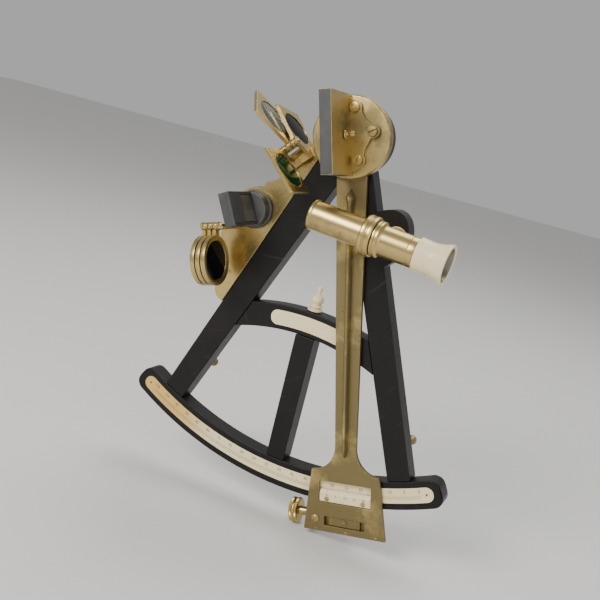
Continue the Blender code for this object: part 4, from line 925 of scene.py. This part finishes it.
# ================================================================== index mirror
class OCTANT_OT_index_mirror(bpy.types.Operator):
    """Make the index mirror with its bracket, tray, screws and adjusting screw"""
    bl_idname = "octant.index_mirror"
    bl_label = "Index Mirror"

    def execute(self, context):
        settings = context.scene.octant_brass
        glasses = context.scene.octant_glass
        edge, slot = settings.edge / MM, settings.slot / MM
        metal = brass("bracket_brass", 0.5, 0.28, axis_turn("mirror_adjuster_turn"), 0.2)
        face, foot, top, high = 1.4, DISC_TOP + GAP, 10.5, 44.0
        outline = [(0.4, -23.0), (3.4, -22.0)] + bends(6.05, -15.2, 4.6, -70, 40)
        outline += [(10.2, -9.0)] + bends(16.4, 2.7, 4.6, -110, 100, 13)
        outline += [(11.0, 11.2)] + bends(4.6, 18.6, 4.6, -25, 80) + [(2.4, 24.5), (0.4, 25.0)]
        outline = soften(outline, 1.2, 4, True)
        make("mirror_flange",
             [plate(outline, foot, top), block((-0.6, face), (-25.0, 27.0), (foot, high))],
             MIRROR, metal, "index_arm", ["mirror_bracket"], bevel=edge)
        screws = (4.6, 18.6, 2.4), (16.4, 2.7, 0.3), (6.05, -15.2, 1.2)
        for number, (x, y, turn) in enumerate(screws, 1):
            head = moved(slotted(3.2, 2.0, 0.0, 0.3, slot, 1.1, turn), (x, y, top + GAP))
            shank = moved(bar(0.0, 1.5, 4.6, top + 0.6, 0.1, 24), (x, y, 0.0))
            make(f"bracket_screw_{number}_head", [head, shank], MIRROR,
                 brass(f"screw_brass_{number}", 0.4), "index_arm", [f"bracket_screw_{number}"])
        tray = dark_metal("tray_metal", tuple(glasses.dark), (0.17, 0.17, 0.165), 0.42)
        back = -0.9
        front = back - 5.7
        low, deep = foot + 1.8, high - 1.8
        make("mirror_tray",
             [block((front + 2.4, back), (-23.3, 25.3), (foot + 0.1, high - 0.1)),
              block((front, back), (-25.0, -23.2), (foot, high)),
              block((front, back), (25.2, 27.0), (foot, high)),
              block((front, back + 0.01), (-23.3, 25.3), (foot, low)),
              block((front, face - 0.35), (-24.65, 26.65), (deep, high + 0.12))],
             MIRROR, tray, "index_arm", ["index_mirror_frame"], bevel=0.2)
        # A brass band round the tray's top edge: brass worn bare there, and also a painted highlight along
        # that edge.
        make("mirror_tray_worn_edge_and_highlight", [block((front - 0.06, face - 0.1), (-25.0, 27.0), (high - 0.6, high))],
             MIRROR, brass("edge_brass_and_highlight", 0.3), "index_arm", bevel=0.15)
        silver = glass("index_silver", (0.55, 0.57, 0.56), 0.05, Metallic=1.0)
        make("index_mirror_plate",
             [block((front + 0.3, front + 2.2), (-22.9, 24.9), (foot + 2.1, high - 2.1))], MIRROR, silver,
             "index_arm", ["index_mirror_glass"], bevel=0.2)
        profile = [(0.0, 0.4), (3.0, 0.4), (3.0, 1.2), (1.2, 1.8), (1.2, 3.4), (2.1, 4.2), (2.3, 5.6),
                   (1.5, 7.0), (0.0, 7.4)]
        screw = moved(turning(profile, 0.35, teeth=14, depth=0.15, bands=((4.4, 6.6),)),
                      (face, 0.5, 22.0), (1, 0, 0))
        make("adjusting_screw_head", [screw], MIRROR, brass("adjuster_brass", 0.3, 0.24),
             "mirror_adjuster", ["mirror_adjusting_screw"])
        return {"FINISHED"}


# ================================================================== tangent screw and clamp
class OCTANT_OT_tangent(bpy.types.Operator):
    """Make the tangent screw with its milled knob, the clamp and its screw"""
    bl_idname = "octant.tangent"
    bl_label = "Tangent Screw and Clamp"

    def execute(self, context):
        settings = context.scene.octant_brass
        r, a, b = 8.75, -43.0, -36.3
        middle = (a + b) / 2
        profile = [(0.0, a - 0.8), (5.0, a - 0.4), (7.2, a), (r, a + 0.6), (r, middle - 1.0),
                   (r - 1.0, middle - 0.5), (r - 1.0, middle + 0.5), (r, middle + 1.0), (r, b - 0.6),
                   (6.8, b), (3.2, b), (3.0, -28.7), (1.5, -28.3), (1.5, 14.0), (0.0, 14.0)]
        make("tangent_screw_knob",
             [turning(profile, 0.3, teeth=settings.teeth, depth=0.35, bands=((a + 0.4, middle - 0.6),
                                                                            (middle + 0.6, b - 0.4)))],
             aimed(ARM, (0.0, -TANGENT_LINE, TANGENT_HEIGHT), (1, 0, 0)),
             brass("knob_brass", 0.6, 0.28), "tangent_screw", ["tangent_screw"])
        outside, back, jaw = ARC_OUT + 1.7, -WOOD - 0.5, -WOOD - 4.0
        side = [(outside, 0.2), (268.5, 0.2), (268.5, -10.5), (258.0, -10.5), (258.0, jaw), (238.0, jaw),
                (238.0, back), (outside, back)]
        metal = brass("clamp_brass", 1.0)
        slider = [block((-18.0, 18.0), (-267.5, -258.4), (-0.6, 0.5)),
                  block((-11.4, 11.4), (-266.1, -259.9), (0.4, 2.9))]
        jaws = sideways(plate([(-along, height) for along, height in side], -5.0, 7.0))
        make("clamp_jaw", [jaws] + slider, ARM, metal, "clamp", ["clamp_block"], bevel=0.3)
        make("clamp_stud", [moved(slotted(1.7, 1.1, 0.0, 0.3, settings.slot / MM * 0.6, 0.6, 0.7),
                                  (0.5, -263.0, 2.8))],
             ARM, brass("stud_brass", 0.8), "clamp")
        h = 6.5
        screw = [(0.0, jaw - 6.6), (h - 2.0, jaw - 6.6), (h, jaw - 5.2), (h, jaw - 2.4),
                 (h - 1.4, jaw - 1.4), (3.2, jaw - 0.3), (2.0, jaw - 0.3), (2.0, back - 0.2),
                 (0.0, back - 0.2)]
        make("clamp_screw_head",
             [moved(turning(screw, 0.4, teeth=44, depth=0.3, bands=((jaw - 5.4, jaw - 2.2),)),
                    (1.0, -245.0, 0.0))], ARM, metal, "clamp_screw", ["clamp_screw"])
        return {"FINISHED"}


# ================================================================== horizon mirror
class OCTANT_OT_horizon(bpy.types.Operator):
    """Make the horizon plate, and the horizon mirror on its base and lever"""
    bl_idname = "octant.horizon"
    bl_label = "Horizon Mirror"

    def execute(self, context):
        settings = context.scene.octant_brass
        glasses = context.scene.octant_glass
        edge, slot = settings.edge / MM, settings.slot / MM
        rim = plate_edge(limb_half(12.0, 8.3, 26.2) + GAP, limb_half(12.0, 8.3, 151.0) + GAP)
        make("horizon_plate_sheet", [plate(rim, -3.0, 0.0)], LEFT,
             brass("plate_brass", 0.25, 0.22, -SPREAD, 0.2), "frame", ["horizon_plate"],
             bevel=edge)
        head = slotted(2.2, 0.5, 0.0, 0.15, slot * 0.8, 0.5, 0.8)
        shank = turning([(0.0, -2.6), (1.6, -2.6), (2.2, -0.1), (0.0, -0.1)], 0.1, 24)
        make("plate_screw_head",
             [moved(head, (130.9, -18.5, -0.2)), moved(shank, (130.9, -18.5, 0.0))],
             LEFT, brass("plate_screw_brass", 0.4), "frame", ["plate_screw"])
        dark = dark_metal("holder_metal", tuple(glasses.dark), (0.15, 0.15, 0.145), 0.42)
        t = 10.0
        base = [(0.0, GAP), (13.5, GAP), (13.5, 2.6), (12.3, 3.2), (12.3, t - 0.6), (11.7, t), (0.0, t)]
        make("horizon_turntable", [turning(base, 0.3, 96)], HORIZON, dark, "horizon_mirror",
             ["horizon_base"])
        # The holder is solid behind. In front it has a cap over two cheeks and a sill round the glass.
        half, foot, top, cut_top, wide = 4.0, t + GAP, 42.0, 26.0, 11.5
        ridges = [block((half - 0.3, half + 0.3), (-9.8, 9.8), (w, w + 0.9))
                  for w in np.arange(27.3, 41.0, 2.1)]
        make("horizon_holder",
             [block((-half, 1.2), (-wide, wide), (foot, top)),
              block((1.1, half), (-wide, wide), (cut_top, top)),
              block((1.1, half), (-wide, -9.5), (foot, cut_top + 0.1)),
              block((1.1, half), (9.5, wide), (foot, cut_top + 0.1)),
              block((1.1, half), (-9.6, 9.6), (foot, foot + 2.0))] + ridges,
             HORIZON, dark, "horizon_mirror", ["horizon_frame"], bevel=0.3)
        silver = dark_metal("horizon_silver", (0.16, 0.155, 0.12), (0.36, 0.35, 0.29), 0.30, 0.8)
        make("horizon_mirror_plate", [block((1.4, half - GAP), (-9.2, 9.2), (foot + 2.3, cut_top - GAP))],
             HORIZON, silver, "horizon_mirror", ["horizon_glass"], bevel=0.2)
        front = -WOOD - 0.6
        outline = bends(0.0, 0.0, 6.0, -20, 200, 24) + bends(0.0, -34.0, 2.8, 180, 360, 12)
        make("horizon_lever_arm",
             [bar(0.0, 3.5, front - 4.0, 0.0, 0.3, 32), plate(outline, front - 3.0, front)],
             HORIZON, brass("lever_brass", 0.8), "horizon_mirror", ["horizon_lever"], bevel=0.3)
        return {"FINISHED"}


# ================================================================== shades
def rest_swing(joint):
    """A shade's swing at rest, counted from its lowest limit."""
    return -math.radians(JOINT[joint]["range_deg"][0])


class OCTANT_OT_shades(bpy.types.Operator):
    """Make the three square index shades, the three round horizon shades and their hinges"""
    bl_idname = "octant.shades"
    bl_label = "Shades"

    def execute(self, context):
        glasses = context.scene.octant_glass
        edge = context.scene.octant_brass.edge / MM
        metal = brass("shade_brass", 0.2, 0.24)
        ring = brass("hinge_brass", 0.15, 0.20)
        half, pane_half = 1.25, 0.75             # half the thickness of a frame and of its glass
        lug = bar(1.8, 3.0, -half, half, 0.35, 40)
        washer = bar(1.55, 3.1, -0.45, 0.45, 0.3, 32)
        panes = {"green": glass("green_pane", tuple(glasses.green), 0.06, Specular_IOR_Level=0.22),
                 "clear": glass("clear_pane", (0.40, 0.42, 0.36), 0.05, Transmission_Weight=0.9,
                                IOR=1.45),
                 "dark": glass("dark_pane", tuple(glasses.smoke), 0.06, Specular_IOR_Level=0.08)}
        square = np.array([17.0, 16.0])          # the middle of a square shade's opening
        outline = soften([(0.0, 2.0), (34.0, 2.0), (34.0, 30.0), (0.0, 30.0)], 1.2, 4, True)
        for kind, pane in panes.items():
            base = hinge_seat(f"{kind}_shade_swing", rest_swing(f"{kind}_shade_swing"))
            sheet = windowed(outline, square, 12.6, -half, half)
            make(f"{kind}_shade_plate", [upright(sheet), upright(lug)], base, metal, f"{kind}_shade",
                 [f"{kind}_shade_frame"], bevel=edge)
            disc = moved(bar(0.0, 12.3, -pane_half, pane_half, 0.2, 72), (*square, 0.0))
            make(f"{kind}_shade_pane", [upright(disc)], base, pane, f"{kind}_shade",
                 [f"{kind}_shade_glass"])

        path = hinge_seat("green_shade_swing", 0.0)
        near, far = -3.35, 10.95                 # the ears' middles along the hinge
        foot, thick, ear_half = -9.7, 3.7, 1.1
        ear = bends(0.0, 0.0, 3.4, 20, 200, 14)
        ear += [(3.6, foot + 1.2), (6.0, foot), (12.5, foot), (12.5, foot + thick)]
        ears = [upright(plate(ear, middle - ear_half, middle + ear_half)) for middle in (near, far)]
        sole = block((8.0, 12.5), (near - ear_half, far + ear_half), (foot, foot + thick))
        web = block((4.2, 8.2), (near - 1.0, far + 1.0), (foot + 0.05, foot + 2.0))
        wall = block((3.7, 5.3), (near + 1.0, far - 1.0), (foot + 0.05, -3.5))
        make("shade_bracket_block", ears + [sole, web, wall], path, metal, "frame",
             ["index_shade_bracket"], bevel=edge)
        start = near - 4.0
        tip = far + 1.7 - start
        profile = [(0.0, 1.0), (2.6, 1.0), (2.8, 2.2), (2.6, 2.6), (1.5, 2.6), (1.5, tip), (0.0, tip)]
        pin = [moved(turning(profile, 0.25, 40), (0.0, start, 0.0), (0, 1, 0))]
        washers = [moved(washer, (0.0, y, 0.0), (0, 1, 0)) for y in (-1.75, 1.9, 5.7, 9.35)]
        make("index_shade_pivot", pin + washers, path, ring, "frame", ["index_shade_pin"])

        smoke = panes["dark"]
        rim = [(13.4, -1.1), (14.2, -1.25), (15.0, -1.6), (17.2, -1.6), (17.2, 1.6), (15.0, 1.6),
               (14.2, 1.25), (13.4, 1.1)]
        round_middle = (23.0, 4.0, 0.0)          # the middle of a round shade
        hoop = upright(moved(turning(rim, 0.3, 96), round_middle))
        neck = block((2.2, 8.5), (-half, half), (-1.6, 3.4))
        disc = upright(moved(bar(0.0, 13.2, -pane_half, pane_half, 0.2, 72), round_middle))
        for shade in (f"horizon_shade_{number}" for number in (1, 2, 3)):
            base = hinge_seat(f"{shade}_swing", 0.0)
            make(f"{shade}_ring", [hoop, neck, upright(lug)], base, metal, shade, [f"{shade}_frame"])
            make(f"{shade}_pane", [disc], base, smoke, shade, [f"{shade}_glass"])
        path = hinge_seat("horizon_shade_2_swing", 0.0)
        pitch = 4.0                              # from one round shade to the next
        side = pitch + half + 0.8
        post = [(0.0, GAP), (2.8, GAP), (2.8, 1.2), (2.4, 2.2), (2.4, 26.6), (1.6, 27.4), (0.0, 27.4)]
        make("horizon_shade_pillar", [moved(turning(post, 0.4, 40), (0.0, side + 2.4, -24.0))], path,
             ring, "frame", ["horizon_shade_post"])
        end = side + pitch + half
        pin = [(0.0, 0.0), (1.5, 0.0), (1.5, end), (2.8, end + GAP), (2.8, end + 1.6), (1.8, end + 2.2),
               (0.0, end + 2.2)]
        pin = [moved(turning(pin, 0.25, 40), (0.0, side - GAP, 0.0), (0, -1, 0))]
        washers = [moved(washer, (0.0, y, 0.0), (0, 1, 0)) for y in (-5.9, -2.0, 2.0, 5.9)]
        make("horizon_shade_pivot", pin + washers, path, ring, "frame", ["horizon_shade_pin"])
        return {"FINISHED"}


# ================================================================== telescope
class OCTANT_OT_telescope(bpy.types.Operator):
    """Make the telescope with its collar, stem, seat, rising nut, lenses and eye cup"""
    bl_idname = "octant.telescope"
    bl_label = "Telescope"

    def execute(self, context):
        tube = brass("tube_brass", 0.35, 0.25)
        mount = brass("mount_brass", 0.7)
        post = seat(STEM[0] / MM, STEM[2] / MM)
        wall = 5.5
        ring = [(8.0, -2.5), (8.0, 0.3), (3.8, 0.3), (3.8, -WOOD), (wall, -WOOD), (wall, -2.5)]
        make("telescope_seat_ring", [turning(ring, 0.3, 64)], post, mount, "frame", ["telescope_seat"])
        nut = -WOOD - 0.4
        milled = bar(3.8, 6.5, nut - 4.0, nut, 0.35, teeth=40, depth=0.3,
                     bands=((nut - 3.7, nut - 0.3),))
        make("rising_nut", [milled], post, mount, "rise_nut", ["rise_nut"])

        start, end = 39.1, 46.7
        middle = (start + end) / 2
        r = TUBE + 3.5
        collar = [(TUBE + GAP, start), (r - 0.6, start), (r, start + 0.8), (r, middle - 0.9),
                  (r - 0.8, middle - 0.4), (r - 0.8, middle + 0.4), (r, middle + 0.9), (r, end - 0.8),
                  (r - 0.6, end), (TUBE + GAP, end)]
        under, floor, inside = -r - 4.0, -TUBE - 2.75, -TUBE - 1.0
        tail = STEM_ALONG + 4.7
        shelf = [block((-4.5, 4.5), (under, floor), (start, tail)),
                 block((-4.4, 4.4), (floor - 0.5, inside), (start + 0.1, end - 0.1))]
        stem_top = np.array([0.0, under + 1.0, STEM_ALONG])
        stem_end = np.array([0.0, -SCOPE_HEIGHT - WOOD - 10.0, STEM_ALONG])
        length = stem_top[1] - stem_end[1]
        stem = moved(bar(0.0, 3.5, 0.0, length, 0.4, 40), stem_end, (0, 1, 0))
        make("telescope_clamp_ring", [turning(collar, 0.3, 96)] + shelf + [stem], SCOPE, tube,
             "telescope", ["telescope_bracket"], bevel=0.35)

        near, inner, lip, joint = 1.8, TUBE - 0.9, TUBE + 0.15, end + GAP
        bead, shoulder, shoulder_end, tube_end = TUBE + 0.55, TUBE + 2.05, 52.3, 74.9
        body = [(bead - 0.4, near), (bead, near + 0.8), (bead, near + 1.8), (TUBE, near + 2.5),
                (TUBE, joint), (shoulder, joint + 0.2), (shoulder, joint + 1.4),
                (shoulder - 0.5, joint + 1.8), (shoulder, joint + 2.2), (shoulder, shoulder_end - 1.6),
                (shoulder - 1.2, shoulder_end - 0.8), (lip, shoulder_end), (lip, 70.2),
                (lip - 0.25, 70.5), (lip, 70.8), (lip, tube_end), (inner, tube_end), (inner, near)]
        make("telescope_tube", [turning(body, 0.25, 96)], SCOPE, tube, "telescope", ["main_tube"])
        lens = glass("lens_pane", (0.70, 0.74, 0.72), 0.03, Transmission_Weight=1.0, IOR=1.5)
        g = inner - GAP
        profile = [(0.0, 3.6), (g * 0.6, 4.0), (g, 4.8), (g, 6.2), (g * 0.6, 6.6), (0.0, 6.8)]
        make("objective_pane", [turning([(a, b + near) for a, b in profile], 1.0, 64)], SCOPE, lens,
             "telescope", ["objective_lens"])
        draw = inner - 0.3
        hollow = draw - 0.7
        cup = tube_end + GAP
        inner_end, outer_end = tube_end - 19.0, cup + 4.5
        sleeve = [(draw, inner_end), (draw, outer_end), (hollow, outer_end), (hollow, inner_end)]
        inside = dark_metal("draw_tube_metal", (0.20, 0.18, 0.14), (0.40, 0.37, 0.31), 0.34, 1.0)
        make("telescope_draw_tube", [turning(sleeve, 0.2, 72)], SCOPE, inside, "eyepiece", ["draw_tube"])
        g = hollow - GAP
        profile = [(0.0, 0.0), (g, 1.0), (g, 2.0), (0.0, 2.8)]
        make("eye_pane", [turning([(a, b + cup + 0.5) for a, b in profile], 1.0, 64)], SCOPE, lens,
             "eyepiece", ["eye_lens"])
        c, grip = 20.8, draw + GAP
        waist, rim, mouth = TUBE + 0.8, TUBE + 3.55, TUBE + 1.65
        outline = [(TUBE + 1.0, 0.0), (TUBE + 1.3, 0.4), (TUBE + 1.1, 0.16 * c), (waist, 0.34 * c),
                   (waist, 0.46 * c), (waist + 0.6, 0.64 * c), (waist + 1.7, 0.82 * c),
                   (rim - 0.1, 0.93 * c), (rim, 0.97 * c), (rim - 0.5, c), (mouth + 0.4, c),
                   (mouth, c - 0.4), (mouth - 1.3, 0.70 * c), (grip + 0.2, 0.34 * c), (grip, 0.30 * c),
                   (grip, 0.0)]
        white = context.scene.octant_ivory.white
        make("ivory_eyecup", [turning([(a, b + cup) for a, b in outline], 1.6, 96)], SCOPE,
             ivory("eyecup_ivory", tuple(white), (0.60, 0.45, 0.25)), "eyepiece", ["eyecup"])
        # A dark metal coat over the eye cup's inner wall: painted shade inside the cup.
        wall_in = [(mouth + 0.1, c - 0.9), (mouth - 1.2, 0.70 * c), (grip + 0.3, 0.34 * c)]
        painted_shade_wall = wall_in + [(r - 0.45, z) for r, z in reversed(wall_in)]
        make("eyecup_painted_shade", [turning([(a, b + cup) for a, b in painted_shade_wall], 0.15, 72)],
             SCOPE, inside, "eyepiece")
        return {"FINISHED"}


# ================================================================== stage
CAMERA_PLACE = (0.2005, FRONT - 0.5327, 0.0118)
CAMERA_SIDE = math.radians(21.55)        # how far the camera stands round to the right
CAMERA_RISE = math.radians(12.53)        # how steeply it looks down
CAMERA_ROLL = math.radians(13.93)        # how far it is rolled to the left


def lamp(name, place, size, power, colour, target=(0.02, FRONT, -0.13)):
    """A square soft light aimed at the instrument."""
    light = bpy.data.lights.new(name, "AREA")
    light.size = size
    light.energy = power
    light.color = colour
    holder = bpy.data.objects.new(name, light)
    bpy.context.scene.collection.objects.link(holder)
    back = np.array(place) - np.array(target)
    back /= np.linalg.norm(back)
    right = np.cross([0.0, 0.0, 1.0], back)
    right /= np.linalg.norm(right)
    matrix = np.eye(4)
    matrix[:3, :3] = np.column_stack([right, np.cross(back, right), back])
    matrix[:3, 3] = place
    holder.matrix_world = Matrix(matrix.tolist())


class OCTANT_OT_stage(bpy.types.Operator):
    """Make the floor, the lights and the camera"""
    bl_idname = "octant.stage"
    bl_label = "Stage"

    def execute(self, context):
        settings = context.scene.octant_stage
        scene = context.scene
        low = min(CAD_BOX[0][2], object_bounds()[0].z) - 0.0005
        x = np.linspace(-4.0, 4.0, 9)
        points = np.stack([*np.meshgrid(x, x, indexing="ij"), np.full((9, 9), low)], -1)
        mesh = bpy.data.meshes.new("floor")
        mesh.from_pydata(points.reshape(-1, 3).tolist(), [], grid_faces(9, 9).tolist())
        mesh.update()
        if mesh.polygons[0].normal.z < 0:
            mesh.flip_normals()
        mesh.materials.append(backdrop("floor_paper", tuple(settings.floor)))
        floor = bpy.data.objects.new("floor", mesh)
        scene.collection.objects.link(floor)
        floor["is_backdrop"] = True

        world = bpy.data.worlds.new("studio")
        world.use_nodes = True
        sky = world.node_tree.nodes["Background"]
        sky.inputs["Color"].default_value = (0.80, 0.80, 0.80, 1.0)
        sky.inputs["Strength"].default_value = 0.55
        scene.world = world
        lamp("key", (-0.45, -1.1, 0.65), 0.6, settings.key, (1.0, 0.97, 0.92))
        lamp("fill", (1.1, -0.8, 0.2), 0.9, settings.key * 0.35, (0.95, 0.97, 1.0))
        lamp("top", (0.1, 0.5, 1.0), 0.8, settings.key * 0.55, (1.0, 1.0, 1.0))

        camera = bpy.data.objects.new("camera", bpy.data.cameras.new("camera"))
        camera.data.lens = settings.lens
        camera.data.sensor_width = 36.0
        camera.data.clip_start = 0.01
        scene.collection.objects.link(camera)
        camera.matrix_world = (Matrix.Translation(CAMERA_PLACE) @ Matrix.Rotation(CAMERA_SIDE, 4, "Z")
                               @ Matrix.Rotation(math.pi / 2 - CAMERA_RISE, 4, "X")
                               @ Matrix.Rotation(CAMERA_ROLL, 4, "Z"))
        scene.camera = camera
        return {"FINISHED"}


# ================================================================== panel
SETTINGS = {"octant_wood": OctantWood, "octant_ivory": OctantIvory, "octant_brass": OctantBrass,
            "octant_glass": OctantGlass, "octant_stage": OctantStage}
STEPS = (OCTANT_OT_frame, OCTANT_OT_ivory, OCTANT_OT_pivot, OCTANT_OT_index_arm, OCTANT_OT_index_mirror,
         OCTANT_OT_tangent, OCTANT_OT_horizon, OCTANT_OT_shades, OCTANT_OT_telescope, OCTANT_OT_stage)


class OCTANT_PT_panel(bpy.types.Panel):
    """Settings and steps of the octant."""
    bl_label = "Navigating Octant"
    bl_idname = "OCTANT_PT_panel"
    bl_space_type = "VIEW_3D"
    bl_region_type = "UI"
    bl_category = "Octant"

    def draw(self, context):
        for key, group in SETTINGS.items():
            box = self.layout.box()
            box.label(text=group.__doc__.rstrip("."))
            for name in group.__annotations__:
                box.prop(getattr(context.scene, key), name)
        for step in STEPS:
            self.layout.operator(step.bl_idname)


def register():
    """Add the settings, the operators and the panel."""
    for key, group in SETTINGS.items():
        bpy.utils.register_class(group)
        setattr(bpy.types.Scene, key, bpy.props.PointerProperty(type=group))
    for cls in (*STEPS, OCTANT_PT_panel):
        bpy.utils.register_class(cls)


def unregister():
    """Take them away again."""
    for cls in reversed((*STEPS, OCTANT_PT_panel)):
        bpy.utils.unregister_class(cls)
    for key, group in reversed(SETTINGS.items()):
        delattr(bpy.types.Scene, key)
        bpy.utils.unregister_class(group)


def main():
    """Run every step in order."""
    register()
    for step in STEPS:
        getattr(bpy.ops.octant, step.bl_idname.split(".")[1])()


if __name__ == "__main__":
    main()
